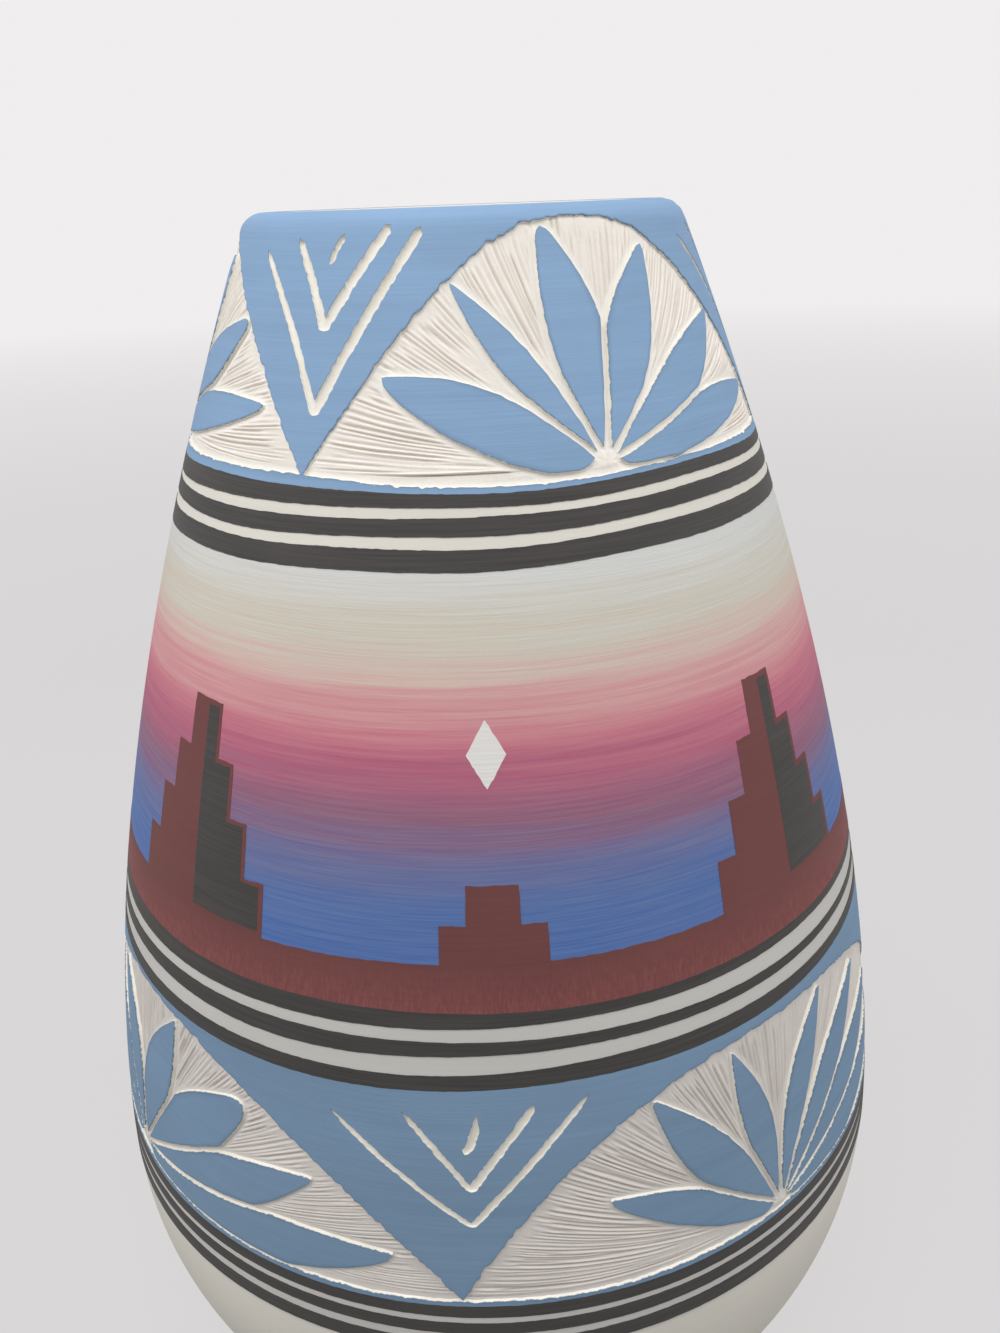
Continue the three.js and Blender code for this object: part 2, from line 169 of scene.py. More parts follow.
# An arch of an etched band, laid out by hand: middle, half width, how square the shoulders are, how much
# fuller the petals swell on their right, and how far the fan's foot lies higher and beside the middle
Arch = namedtuple("Arch", "middle half power swell lift aside")

UPPER_ARCHES = entries(
    Arch,
    (25.0, 55.5, 2.2, 0.0, 0.0, -1.6),
    (142.75, 62.25, 2.2, 0.0, 0.0, -1.6),
    (267.25, 62.25, 2.2, 0.0, 1.4, -1.6),
)
LOWER_ARCHES = entries(
    Arch,
    (41.0, 46.5, 2.9, 0.0, 0.0, -3.4),
    (128.5, 41.0, 2.6, 1.2, 0.0, -1.8),
    (210.5, 41.0, 2.6, 1.2, 0.0, -1.8),
    (303.0, 51.5, 2.2, 2.4, 0.9, -1.9),
)

# A petal of a fan: tip as a share of the arch's half width, tip height as a share of the arch's height
# there, how far the petal swells to the left and right of the line from its foot, and its tip's width
Petal = namedtuple("Petal", "across up left right blunt")

UPPER_PETALS = entries(
    Petal,
    (-0.742, 0.825, 4.1, 3.9, 0.3),
    (-0.508, 0.97, 1.9, 2.5, 0.3),
    (-0.146, 0.97, 2.3, 5.0, 1.7),
    (0.321, 0.94, 4.7, 2.7, 0.9),
    (0.672, 0.96, 3.2, 3.4, 0.5),
    (0.83, 0.63, 3.4, 2.5, 0.5),
)
LOWER_PETALS = entries(
    Petal,
    (-0.61, 0.568, 2.8, 3.6, 0.3),
    (-0.482, 0.972, 4.4, 3.1, 0.6),
    (-0.228, 0.949, 2.3, 3.5, 0.3),
    (0.166, 0.968, 5.4, 1.0, 0.3),
    (0.437, 0.928, 4.9, 2.2, 0.6),
    (0.645, 0.788, 5.0, 2.8, 0.6),
    (0.84, 0.655, 3.2, 4.0, 0.3),
)
UPPER_LEFT_PETALS = UPPER_PETALS[:4] + entries(
    Petal,
    (0.645, 0.965, 3.0, 3.4, 1.4),
    (0.81, 0.72, 3.2, 2.5, 0.5),
)
LOWER_LEFT_PETALS = LOWER_PETALS[:3] + entries(
    Petal,
    (0.169, 0.963, 5.6, 1.3, 0.3),
    (0.443, 0.89, 4.7, 1.4, 2.8),
    (0.641, 0.806, 3.6, 2.8, 0.6),
) + LOWER_PETALS[6:]
FAN_NODES = 6
FAN_LIFT = 0.9
PARTING = 1.15
PETAL_START = 2.2

# Curve of a petal's side: how far towards the tip it swells most, and how long it stays full
INNER_SIDE = (1.2, 1.0)
GROUND_SIDE = (0.8, 0.6)

# A V groove between two arches: turn from their meeting and rise above it at both ends, how far the middle
# bows to the left, the width as a share of the set width, and how long the upper end runs to a point
Groove = namedtuple("Groove", "start end bow width point")

UPPER_GROOVES = entries(
    Groove,
    ((-20.0, 31.2), (1.2, 8.6), 1.8, 0.78, 1.5),
    ((-9.0, 32.8), (1.2, 20.2), 0.5, 0.88, 0.8),
    ((21.5, 33.9), (0.9, 8.6), -0.8, 1.0, 0.4),
    ((14.5, 34.4), (0.9, 20.2), -0.3, 1.0, 0.4),
    ((3.7, 33.3), (0.6, 29.2), 0.0, 0.66, 0.8),
)
LOWER_GROOVES = entries(
    Groove,
    ((-15.5, 32.9), (1.6, 14.4), 0.0, 0.6, 3.0),
    ((-6.5, 34.4), (1.6, 20.9), 0.0, 0.65, 2.5),
    ((16.0, 36.1), (1.4, 14.4), 0.0, 0.75, 3.0),
    ((9.5, 35.4), (1.4, 20.9), 0.0, 0.85, 0.8),
    ((2.5, 34.4), (1.0, 27.5), 0.5, 0.9, 3.0),
)

# Grooves that are cut in the same round, so that bars of one round never meet
GROOVE_ROUNDS = ((0, 1), (2, 3), (4,))

# How the hand strayed, as turns and rises: on the upper set of lines, its top edge, the top edge of the
# blue line over it, and the top of the lower black lines, under the blue field
STILL = ((0, 0),)
UPPER_SET_DRIFT = ((-100, -0.3), (-45, -0.4), (-28, 0), (8, 0), (17, 0.2), (31, 0.7), (46, 1.05), (62, 0.9),
                   (110, 0.3), (180, -0.2))
UPPER_EDGE_DRIFT = ((-100, 0.2), (-46, 0.5), (-29, 0.4), (-17, -0.1), (-4, -0.3), (8, -0.2), (14.5, -0.1),
                    (25, 0.3), (33, 0.6), (49, 0.9), (71, 0.4), (150, 0.1), (200, -0.1))
BLUE_EDGE_DRIFT = ((-80, 0.4), (-55, 0.6), (-29, 0.75), (-17, -0.1), (-4, -0.6), (5, -0.85), (15, -0.7),
                   (25, -0.35), (33, 0), (49, 0.4), (75, 0.5), (150, 0.2), (220, 0.3))
LOWER_BLUE_DRIFT = ((-100, 0), (-56, -0.3), (-30, -0.85), (-12, -0.4), (7, 0.3), (26, 0.35), (36, 0.85),
                    (45, 1.3), (55, 1.55), (110, 0.4), (180, 0))

# The drifts of every black line's lower and upper edge
LINE_DRIFTS = {
    "upper": ((UPPER_SET_DRIFT, UPPER_EDGE_DRIFT),) + ((UPPER_SET_DRIFT, UPPER_SET_DRIFT),) * 2,
    "lower": (
        (((-100, -0.3), (-56, -0.85), (-38, -0.9), (-12, -0.55), (-2, -0.3), (7, 0.25), (17, 0.45),
          (31, 0.2), (45, 0.5), (55, 0.85), (110, 0.3), (180, 0)), STILL),
        (((-100, -0.4), (-56, -1.05), (-47, -1.2), (-38, -1.05), (-12, -0.6), (7, 0.05), (17, 0.4),
          (36, 0.25), (55, 0.7), (110, 0.2), (180, 0)),
         ((-100, -0.4), (-56, -1.0), (-47, -0.6), (-30, -0.35), (0, -0.25), (17, -0.1), (36, -0.4),
          (55, -0.3), (120, 0))),
        (LOWER_BLUE_DRIFT,
         ((-100, -0.3), (-56, -0.9), (-38, -1.3), (-21, -1.1), (-2, -0.3), (7, 0.1), (26, 0.4), (45, 0.8),
          (55, 0.5), (110, 0.2), (180, 0))),
    ),
    "foot": ((STILL, STILL),) * 3,
}

# How far a black line runs under and over its own height, to meet the coat beside it
LINE_REACH = {("lower", 3): (0.28, 0.0), ("lower", 1): (0.0, 0.28), ("foot", 1): (0.0, 0.28)}

# Terraces: steps a side, width of a step in degrees, rise of a step
TERRACE_PAIRS = 4
LARGE_TERRACE = (4, 3.4, 8.5)
SMALL_TERRACE = (2, 3.4, 6.0)
EARTH_GROUND = 7.6
SHADE_INSET = 0.8

# White lozenge over a small terrace: half its width, half its height, rise of its middle over the ground
LOZENGE = (3.2, 5.0, 31.0)

# Painted shade: the coats below the sunset are darkened, as shares of their upper colours, for the lower
# wall getting less light. The change lies between two heights in metres, and the bare foot is unshaded
# again.
LOWER_BLUE_PAINTED_SHADE = (0.79, 0.79, 0.76, 1.0)
LOWER_CLAY_PAINTED_SHADE = (0.79, 0.8, 0.84, 1.0)
LOWER_ETCHED_PAINTED_SHADE = (0.8, 0.8, 0.82, 1.0)
UNSHADED_TONE = (1.0, 1.0, 1.0, 1.0)
PAINTED_SHADE_CHANGE = (0.13, 0.165)

# The sunset from below, by share of the band's height. Its bands hang lower towards both sides, and a
# little more to the right: by these shares of the band's height at the given distance from the middle.
SUNSET = (
    (0.0, (66, 104, 172)),
    (0.24, (76, 110, 170)),
    (0.35, (102, 108, 156)),
    (0.45, (140, 94, 122)),
    (0.56, (178, 94, 122)),
    (0.64, (200, 118, 134)),
    (0.72, (212, 156, 157)),
    (0.79, (212, 186, 176)),
    (0.88, (208, 202, 188)),
    (1.0, (214, 215, 212)),
)
HANG_BOTH = 0.028
HANG_RIGHT = 0.015
HANG_DISTANCE = 0.06


# The vase's surface

def wall_radius(height):
    below = np.clip((BELLY_HEIGHT - height) / BELLY_HEIGHT, 0, None)
    above = np.clip((height - BELLY_HEIGHT) / (HEIGHT - BELLY_HEIGHT), 0, None)
    shoulder = (BELLY_RADIUS - RIM_RADIUS) * above ** SHOULDER_POWER
    return BELLY_RADIUS - shoulder - (BELLY_RADIUS - FOOT_RADIUS) * below ** FOOT_POWER


def wall_tilt(height):
    """How far the wall's outward normal points up, in radians."""
    reach = 0.01
    return np.arctan((wall_radius(height - reach) - wall_radius(height + reach)) / (2 * reach))


def find_lip_start():
    height = HEIGHT - LIP_RADIUS
    for _ in range(30):
        height = HEIGHT - LIP_RADIUS * (1 - math.sin(wall_tilt(height)))
    return height


LIP_START = find_lip_start()
LIP_TILT = float(wall_tilt(LIP_START))
LIP_CENTRE = float(wall_radius(LIP_START)) - LIP_RADIUS * math.cos(LIP_TILT)
LIP_END = LIP_START + LIP_RADIUS * (math.pi / 2 - LIP_TILT)
SURFACE_END = LIP_END + LIP_FLAT


def profile(height, depth):
    """Radius and level of points at surface heights and depths."""
    height, depth = np.broadcast_arrays(np.asarray(height, float), np.asarray(depth, float))
    wall = np.minimum(height, LIP_START)
    tilt = wall_tilt(wall)
    radius = wall_radius(wall) - depth * np.cos(tilt)
    level = wall - depth * np.sin(tilt)
    turn = LIP_TILT + (np.clip(height, LIP_START, LIP_END) - LIP_START) / LIP_RADIUS
    reach = LIP_RADIUS - depth
    over = height > LIP_START
    radius = np.where(over, LIP_CENTRE + reach * np.cos(turn), radius)
    level = np.where(over, HEIGHT - LIP_RADIUS + reach * np.sin(turn), level)
    flat = height > LIP_END
    radius = np.where(flat, LIP_CENTRE - (height - LIP_END), radius)
    return radius, np.where(flat, HEIGHT - depth, level)


def profile_points(low, high, count, depth):
    """Points of an outline along the wall, from one height to another at a depth."""
    radius, level = profile(np.linspace(low, high, count), depth)
    return list(zip(radius.tolist(), level.tolist()))


def on_vase(turn, height, depth):
    """Points in metres at angles, surface heights and depths."""
    radius, level = profile(height, depth)
    angle = np.asarray(turn, float) * DEGREE
    return np.stack(np.broadcast_arrays(
        radius * np.sin(angle), -radius * np.cos(angle), level), axis=-1) * MM


def degree_length(height):
    """Length of one degree round the wall at a height, or round the lip's start over it."""
    return profile(np.minimum(height, LIP_START), 0)[0] * DEGREE


def node_span(node):
    """Lowest and highest surface height of a coat on the wall."""
    low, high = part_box(node)
    low, high = low.z / MM, high.z / MM
    return low + COAT * math.sin(max(0.0, float(wall_tilt(low)))), high


LOWER_FIELD_TOP = node_span("lower_blue_field")[1]
UPPER_LINE_BASE = node_span("upper_blue_line")[0]
LOWER_LINE_BASE = node_span("lower_blue_line")[0]
SKY_BASE = node_span("red_earth")[0]
SKY_TOP = node_span("sunset_sky")[1]
EARTH_LEVEL = SKY_BASE + EARTH_GROUND
FOOT_LINES_BASE = node_span("foot_black_line_3")[0]

# An etched band: its arches stand on the ground and rise from it, with a fan in each and grooves between
# them. The scratched clay goes down to the base. The blue field goes up to the top, in so many rows. The
# blue line under the band strays at its lower and upper edge.
Band = namedtuple("Band", "name arches ground rise fans grooves base top top_drift rows line_drifts")
BANDS = (
    Band("upper", UPPER_ARCHES, node_span("upper_blue_field")[0], 35.0,
         (UPPER_PETALS, UPPER_PETALS, UPPER_LEFT_PETALS), UPPER_GROOVES, UPPER_LINE_BASE - 0.6,
         SURFACE_END, STILL, 26, (UPPER_EDGE_DRIFT, BLUE_EDGE_DRIFT)),
    Band("lower", LOWER_ARCHES, node_span("lower_blue_field")[0], 37.2,
         (LOWER_PETALS, LOWER_PETALS, LOWER_PETALS, LOWER_LEFT_PETALS), LOWER_GROOVES, LOWER_LINE_BASE,
         LOWER_FIELD_TOP + 0.25, LOWER_BLUE_DRIFT, 12, (STILL, STILL)),
)


# Hand-made unevenness

def wobble(turn, seed, size, waves=(2, 9)):
    """A slow, even wander round the vase that meets itself after a full turn."""
    rng = np.random.default_rng(seed)
    total = np.zeros_like(np.asarray(turn, float))
    count = 5
    for _ in range(count):
        wave = rng.integers(waves[0], waves[1] + 1)
        total = total + rng.uniform(0.4, 1) * np.sin(wave * turn * DEGREE + rng.uniform(0, 2 * math.pi))
    return total * size / math.sqrt(count)


def hand_drift(turn, table):
    """A measured slow drift round the vase, softened between its points."""
    turns, rises = zip(*table)
    softening = range(-8, 9, 4)
    return sum(np.interp(np.asarray(turn, float) + step, turns, rises, period=FULL_TURN)
               for step in softening) / len(softening)


def rough(place, seed, size, pitch):
    """Uneven chips along an edge: smooth noise on a line, in steps of a pitch."""
    rng = np.random.default_rng(seed)
    place = np.asarray(place, float) / pitch
    first = int(np.floor(place.min())) - 2
    values = rng.uniform(-1, 1, int(np.ceil(place.max())) - first + 4)
    whole = np.floor(place).astype(int)
    share = place - whole
    share = share * share * (3 - 2 * share)
    return size * (values[whole - first] * (1 - share) + values[whole - first + 1] * share)


def smooth_step(value, low, high):
    share = np.clip((value - low) / (high - low), 0, 1)
    return share * share * (3 - 2 * share)


def closed_rough(length, seed, size, pitch=0.9):
    """Chips along an edge that goes all round: the last stretch runs back to the first value."""
    value = rough(length, seed, size, pitch)
    ends = smooth_step(length, length.max() * 0.985, length.max())
    return value * (1 - ends) + value.reshape(-1)[0] * ends


def round_turns(columns):
    return np.linspace(0, FULL_TURN, columns + 1)[:, None]


def coat_section(rows, top, bottom):
    """Shares of the height and depths round a coat's section: up its face, back under it, to the start."""
    share = np.concatenate([np.linspace(0, 1, rows + 1), [1, 0, 0]])
    return share, np.concatenate([np.full(rows + 1, top), [bottom, bottom, top]])


# Mesh helpers

def pick(*pieces):
    """Selects these pieces and nothing else, and makes the first of them active."""
    if bpy.context.object and bpy.context.object.mode != "OBJECT":
        bpy.ops.object.mode_set(mode="OBJECT")
    bpy.ops.object.select_all(action="DESELECT")
    for piece in pieces:
        piece.select_set(True)
    if pieces:
        bpy.context.view_layer.objects.active = pieces[0]


def join(pieces):
    pick(*pieces)
    bpy.ops.object.join()
    return pieces[0]


def new_piece(name):
    """The piece that was just added, under its own name."""
    piece = bpy.context.object
    piece.name = name
    piece.data.name = name
    return piece


def close_seams(piece, gap=1e-6):
    """Merges the seams and poles of a wrapped piece and turns its faces outwards."""
    pick(piece)
    bpy.ops.object.mode_set(mode="EDIT")
    bpy.ops.mesh.select_all(action="SELECT")
    bpy.ops.mesh.remove_doubles(threshold=gap)
    bpy.ops.mesh.dissolve_degenerate(threshold=gap / 10)
    bpy.ops.mesh.select_all(action="SELECT")
    bpy.ops.mesh.normals_make_consistent(inside=False)
    bpy.ops.object.mode_set(mode="OBJECT")


def wrapped_grid(name, points, **values):
    """A flat grid laid on the vase: points has one row of places for each column of the grid."""
    columns, rows = points.shape[:2]
    pick()
    bpy.ops.mesh.primitive_grid_add(x_subdivisions=columns - 1, y_subdivisions=rows - 1, size=1)
    piece = new_piece(name)
    flat = np.transpose(points, (1, 0, 2)).reshape(-1, 3)
    piece.data.vertices.foreach_set("co", flat.astype(np.float32).ravel())
    for attribute, value in values.items():
        value = np.broadcast_to(value, (columns, rows)).T
        made = piece.data.attributes.new(attribute, "FLOAT", "POINT")
        made.data.foreach_set("value", np.asarray(value, np.float32).ravel())
    piece.data.update()
    close_seams(piece)
    return piece


def turned_piece(name, outline, steps=256):
    """A piece turned on the wheel: a vertex drawn along the outline, then spun round the axis."""
    pick()
    bpy.ops.mesh.primitive_plane_add(size=0.01)
    piece = new_piece(name)
    bpy.ops.object.mode_set(mode="EDIT")
    bpy.ops.mesh.select_all(action="SELECT")
    bpy.ops.mesh.merge(type="CENTER")
    bpy.ops.transform.translate(value=(outline[0][0] * MM, 0, outline[0][1] * MM))
    for (radius, level), (next_radius, next_level) in zip(outline, outline[1:]):
        step = ((next_radius - radius) * MM, 0, (next_level - level) * MM)
        bpy.ops.mesh.extrude_region_move(TRANSFORM_OT_translate={"value": step})
    bpy.ops.mesh.select_all(action="SELECT")
    bpy.ops.mesh.spin(steps=steps, angle=2 * math.pi, center=(0, 0, 0), axis=(0, 0, 1))
    bpy.ops.object.mode_set(mode="OBJECT")
    close_seams(piece)
    return piece


def finish_piece(piece, paint, nodes=(), angle=35.0):
    """Gives a piece its material, lets it ride on the vase and stand for its CAD nodes."""
    pick(piece)
    bpy.ops.object.shade_smooth_by_angle(angle=angle * DEGREE, keep_sharp_edges=True)
    piece.data.materials.clear()
    piece.data.materials.append(material_of(paint))
    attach(piece, BODY)
    if nodes:
        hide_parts(*nodes)


# Node helpers

class Nodes:
    """Short ways to place and link the nodes of one tree."""

    def __init__(self, tree):
        self.tree = tree

    def add(self, kind, **values):
        node = self.tree.nodes.new(kind)
        for name, value in values.items():
            setattr(node, name, value)
        return node

    def link(self, source, target):
        self.tree.links.new(source, target)

    def put(self, value, socket):
        if isinstance(value, bpy.types.NodeSocket):
            self.link(value, socket)
        else:
            socket.default_value = value

    def fill(self, node, *values):
        """Puts values or links into a node's first sockets and gives its first output."""
        for value, socket in zip(values, node.inputs):
            self.put(value, socket)
        return node.outputs[0]

    def math(self, operation, first, *others):
        for other in others:
            first = self.fill(self.add("ShaderNodeMath", operation=operation), first, other)
        return first

    def plus(self, *values):
        return self.math("ADD", *values)

    def times(self, *values):
        return self.math("MULTIPLY", *values)

    def mix(self, factor, first, second, blend="MIX"):
        node = self.add("ShaderNodeMix", data_type="RGBA", blend_type=blend, clamp_factor=True)
        self.put(factor, node.inputs[0])
        self.put(first, node.inputs[6])
        self.put(second, node.inputs[7])
        return node.outputs[2]

    def tint(self, colour, mask, share, target):
        """A colour moved towards another one by a share of a mask."""
        return self.mix(self.times(mask, share), colour, target)

    def range(self, value, low, high, to_low=0.0, to_high=1.0):
        return self.fill(self.add("ShaderNodeMapRange", clamp=True), value, low, high, to_low, to_high)

    def place(self):
        return self.add("ShaderNodeTexCoord").outputs["Object"]

    def axis(self, name):
        """Where a point lies along X, Y or Z, in metres."""
        split = self.add("ShaderNodeSeparateXYZ")
        self.link(self.place(), split.inputs[0])
        return split.outputs[name]

    def noise(self, stretch, detail=4.0, roughness=0.55, scale=1.0):
        mapping = self.add("ShaderNodeMapping")
        self.link(self.place(), mapping.inputs["Vector"])
        mapping.inputs["Scale"].default_value = stretch
        return self.socket("ShaderNodeTexNoise", Vector=mapping.outputs[0], Scale=scale, Detail=detail,
                           Roughness=roughness)

    def socket(self, kind, **values):
        """The first output of a node whose named sockets are filled."""
        node = self.add(kind)
        for name, value in values.items():
            self.put(value, node.inputs[name.replace("_", " ")])
        return node.outputs[0]

    def lower_tone(self, colour, shade_tone):
        """A colour, darkened by painted shade between the foot and the sunset, where the wall gets less
        light.
        """
        height = self.axis("Z")
        foot = FOOT_LINES_BASE * MM
        unshaded = self.math("MAXIMUM", self.range(height, *PAINTED_SHADE_CHANGE),
                          self.range(height, foot - MM, foot, 1.0, 0.0))
        return self.mix(1.0, colour, self.mix(unshaded, shade_tone, UNSHADED_TONE), blend="MULTIPLY")

    def attribute(self, name):
        return self.add("ShaderNodeAttribute", attribute_name=name).outputs["Fac"]

    def ramp(self, value, stops):
        node = self.add("ShaderNodeValToRGB")
        elements = node.color_ramp.elements
        while len(elements) < len(stops):
            elements.new(0.5)
        for element, (position, colour) in zip(elements, stops):
            element.position = position
            element.color = colour
        return self.fill(node, value)

    def bump(self, height, strength, distance):
        return self.socket("ShaderNodeBump", Strength=strength, Distance=distance, Height=height)

    def group(self, name, *values):
        """The outputs of one of the effect groups, with values for its inputs in their order."""
        node = self.add("ShaderNodeGroup")
        node.node_tree = bpy.data.node_groups[name]
        self.fill(node, *values)
        return node.outputs

    def surface(self, colour, roughness, normal, **constants):
        shader = self.socket("ShaderNodeBsdfPrincipled", Base_Color=colour, Roughness=roughness,
                             Normal=normal, **constants)
        self.link(shader, self.add("ShaderNodeOutputMaterial").inputs[0])


def new_tree(owner):
    owner.use_nodes = True
    owner.node_tree.nodes.clear()
    return Nodes(owner.node_tree)


def linear(red, green, blue):
    """A colour given from 0 to 255, as the shader's own numbers."""
    return tuple((c / 255 / 12.92) if c / 255 <= 0.04045 else ((c / 255 + 0.055) / 1.055) ** 2.4
                 for c in (red, green, blue)) + (1.0,)


def scaled(colour, share=1.0):
    return tuple(channel * share for channel in colour[:3]) + (1.0,)


def effect_group(name, inputs, outputs):
    """A new node group of number sockets: its helper, its entry's outputs and its exit's inputs."""
    tree = bpy.data.node_groups.new(name, "ShaderNodeTree")
    for socket, value in inputs.items():
        made = tree.interface.new_socket(socket, in_out="INPUT", socket_type="NodeSocketFloat")
        made.default_value = value
    for socket in outputs:
        tree.interface.new_socket(socket, in_out="OUTPUT", socket_type="NodeSocketFloat")
    nodes = Nodes(tree)
    return nodes, nodes.add("NodeGroupInput").outputs, nodes.add("NodeGroupOutput").inputs


def build_wheel_streaks():
    """Fine level streaks that a turning wheel and a wide brush leave, and slow clouds of shade."""
    nodes, entry, out = effect_group(
        "wheel_streaks", {"Streak Scale": 1.0, "Cloud Scale": 1.0}, ("Streaks", "Fine", "Clouds"))
    broad = nodes.noise((14, 14, 420), 5, 0.6, entry[0])
    fine = nodes.noise((60, 60, 2600), 3, scale=entry[0])
    clouds = nodes.noise((26, 26, 40), scale=entry[1])
    for mask, socket in zip((broad, fine, clouds), out):
        nodes.link(nodes.range(mask, 0.3, 0.7), socket)


def build_specks():
    """Scattered small dark specks and pits of the fired surface."""
    nodes, entry, out = effect_group("specks", {"Amount": 0.5, "Scale": 220.0}, ("Mask",))
    cells = nodes.add("ShaderNodeTexVoronoi")
    nodes.link(nodes.place(), cells.inputs["Vector"])
    nodes.link(entry[1], cells.inputs["Scale"])
    size = nodes.range(nodes.noise((2400, 2400, 2400), 2), 0.35, 0.65, 0.015, 0.05)
    spot = nodes.math("LESS_THAN", cells.outputs["Distance"], size)
    red = nodes.socket("ShaderNodeSeparateColor", Color=cells.outputs["Color"])
    chosen = nodes.math("GREATER_THAN", red, 0.93)
    nodes.link(nodes.times(spot, chosen, entry[0]), out[0])


def build_clay_grain():
    """Fine sandy grain of fired clay, as a height and as a shade."""
    nodes, entry, out = effect_group("clay_grain", {"Scale": 1.0}, ("Height", "Shade"))
    nodes.link(nodes.noise((1800, 1800, 1800), 6, 0.7, entry[0]), out[0])
    nodes.link(nodes.range(nodes.noise((160, 160, 160), 5), 0.32, 0.68), out[1])


# Materials

PALE_CLAY = linear(232, 226, 214)
BRIGHT_CLAY = linear(243, 239, 229)
GROOVE_CLAY = linear(246, 242, 234)
SCRATCH_DUST_AND_SHADE = linear(212, 200, 188)
CRUMB_DUST_AND_SHADE = linear(160, 146, 134)
THIN_BLACK = linear(88, 82, 78)
SKY_CLOUD = linear(120, 110, 120)
SKY_SPECK = linear(70, 64, 66)
LOW_EARTH = linear(134, 72, 74)
DRY_EARTH = linear(168, 104, 98)
WHITE = linear(232, 230, 226)
THIN_WHITE = linear(214, 210, 212)
GLAZE_CRACK = linear(168, 152, 130)


def material_of(paint):
    """The material that a function paints, made when it is first asked for."""
    name = "vase_" + paint.__name__
    if name not in bpy.data.materials:
        paint(settings_of(bpy.context), new_tree(bpy.data.materials.new(name)))
    return bpy.data.materials[name]


def blue_slip(settings, nodes):
    """Matt blue slip with wheel lines, cream where it is cut or chipped through to the clay, with a painted
    shadow line along its cut edges and painted shade below the sunset.
    """
    blue = settings.blue
    broad, fine, clouds = nodes.group("wheel_streaks", 1.0, 1.0)
    grain, grain_shade = nodes.group("clay_grain", 1.0)
    colour = nodes.tint(scaled(blue, 0.88), clouds, 0.8, scaled(blue, 1.07))
    colour = nodes.tint(colour, broad, 0.5, scaled(blue, 1.13))
    colour = nodes.tint(colour, fine, 0.28, scaled(blue, 0.8))
    colour = nodes.mix(nodes.group("specks", 0.35, 260.0)[0], colour, scaled(blue, 0.4))
    # Painted shadow: a dark line on the slip along its cut edges
    colour = nodes.tint(colour, nodes.attribute("rim"), 0.55, scaled(blue, 0.45))
    # Painted shade: darker from the foot lines up to the sunset, where less light falls
    colour = nodes.lower_tone(colour, LOWER_BLUE_PAINTED_SHADE)
    ragged = nodes.noise((1500, 1500, 1500), 3)
    edge = nodes.plus(nodes.attribute("cut"), nodes.range(ragged, 0.3, 0.7, -0.1, 0.1))
    clay = nodes.mix(grain_shade, PALE_CLAY, BRIGHT_CLAY)
    colour = nodes.mix(nodes.range(edge, 0.1, 0.2), colour, clay)
    normal = nodes.bump(nodes.plus(nodes.times(grain, 0.5), fine), 0.25, 0.00006)
    nodes.surface(colour, 0.78, normal, Specular_IOR_Level=0.3)


def bare_clay(settings, nodes):
    """Bare matt clay of the stripes and the foot, with level brush lines and painted shade from the foot
    lines up to the sunset.
    """
    clay = settings.clay
    _, fine, clouds = nodes.group("wheel_streaks", 0.8, 1.3)
    grain = nodes.group("clay_grain", 0.8)["Height"]
    colour = nodes.tint(scaled(clay, 0.93), clouds, 0.7, scaled(clay))
    colour = nodes.tint(colour, fine, 0.3, scaled(clay, 0.85))
    # Painted shade: darker from the foot lines up to the sunset, where less light falls
    colour = nodes.lower_tone(colour, LOWER_CLAY_PAINTED_SHADE)
    colour = nodes.mix(nodes.group("specks", 0.5, 300.0)[0], colour, scaled(clay, 0.35))
    nodes.surface(colour, 0.85, nodes.bump(grain, 0.3, 0.00008), Specular_IOR_Level=0.25)


def etched_clay(settings, nodes):
    """Scratched clay: pale on the ridges and in the smooth outline grooves, grey-brown in the scratches from
    dust and painted shade, with painted shade below the sunset.
    """
    clay = settings.etched_clay
    grain, grain_shade = nodes.group("clay_grain", 1.0)
    scratch = nodes.attribute("scratch")
    colour = nodes.mix(grain_shade, scaled(clay, 0.93), scaled(clay))
    # Dust and painted shade: grey-brown down in the scratches
    colour = nodes.tint(colour, nodes.range(scratch, 0.12, 0.9), 0.75, SCRATCH_DUST_AND_SHADE)
    crumbs = nodes.noise((520, 520, 520), 5, 0.65)
    # Dust and painted shade in patches of the deepest scratches
    deep = nodes.times(nodes.range(crumbs, 0.6, 0.7), nodes.range(scratch, 0.5, 0.95))
    colour = nodes.tint(colour, deep, 0.4, CRUMB_DUST_AND_SHADE)
    colour = nodes.tint(colour, nodes.attribute("outline"), 0.85, GROOVE_CLAY)
    # Painted shade: darker from the foot lines up to the sunset, where less light falls
    colour = nodes.lower_tone(colour, LOWER_ETCHED_PAINTED_SHADE)
    normal = nodes.bump(nodes.plus(grain, nodes.times(crumbs, 2.0)), 0.5, 0.00012)
    nodes.surface(colour, 0.9, normal, Specular_IOR_Level=0.2)


def black_paint(settings, nodes):
    """Matt black brushed paint, thinner and browner in streaks."""
    _, fine, clouds = nodes.group("wheel_streaks", 0.9, 1.6)
    grain = nodes.group("clay_grain", 1.0)["Height"]
    colour = nodes.tint(scaled(settings.black), clouds, 0.7, scaled(settings.black, 1.35))
    colour = nodes.tint(colour, fine, 0.35, THIN_BLACK)
    normal = nodes.bump(nodes.plus(grain, fine), 0.25, 0.00006)
    nodes.surface(colour, 0.62, normal, Specular_IOR_Level=0.35)


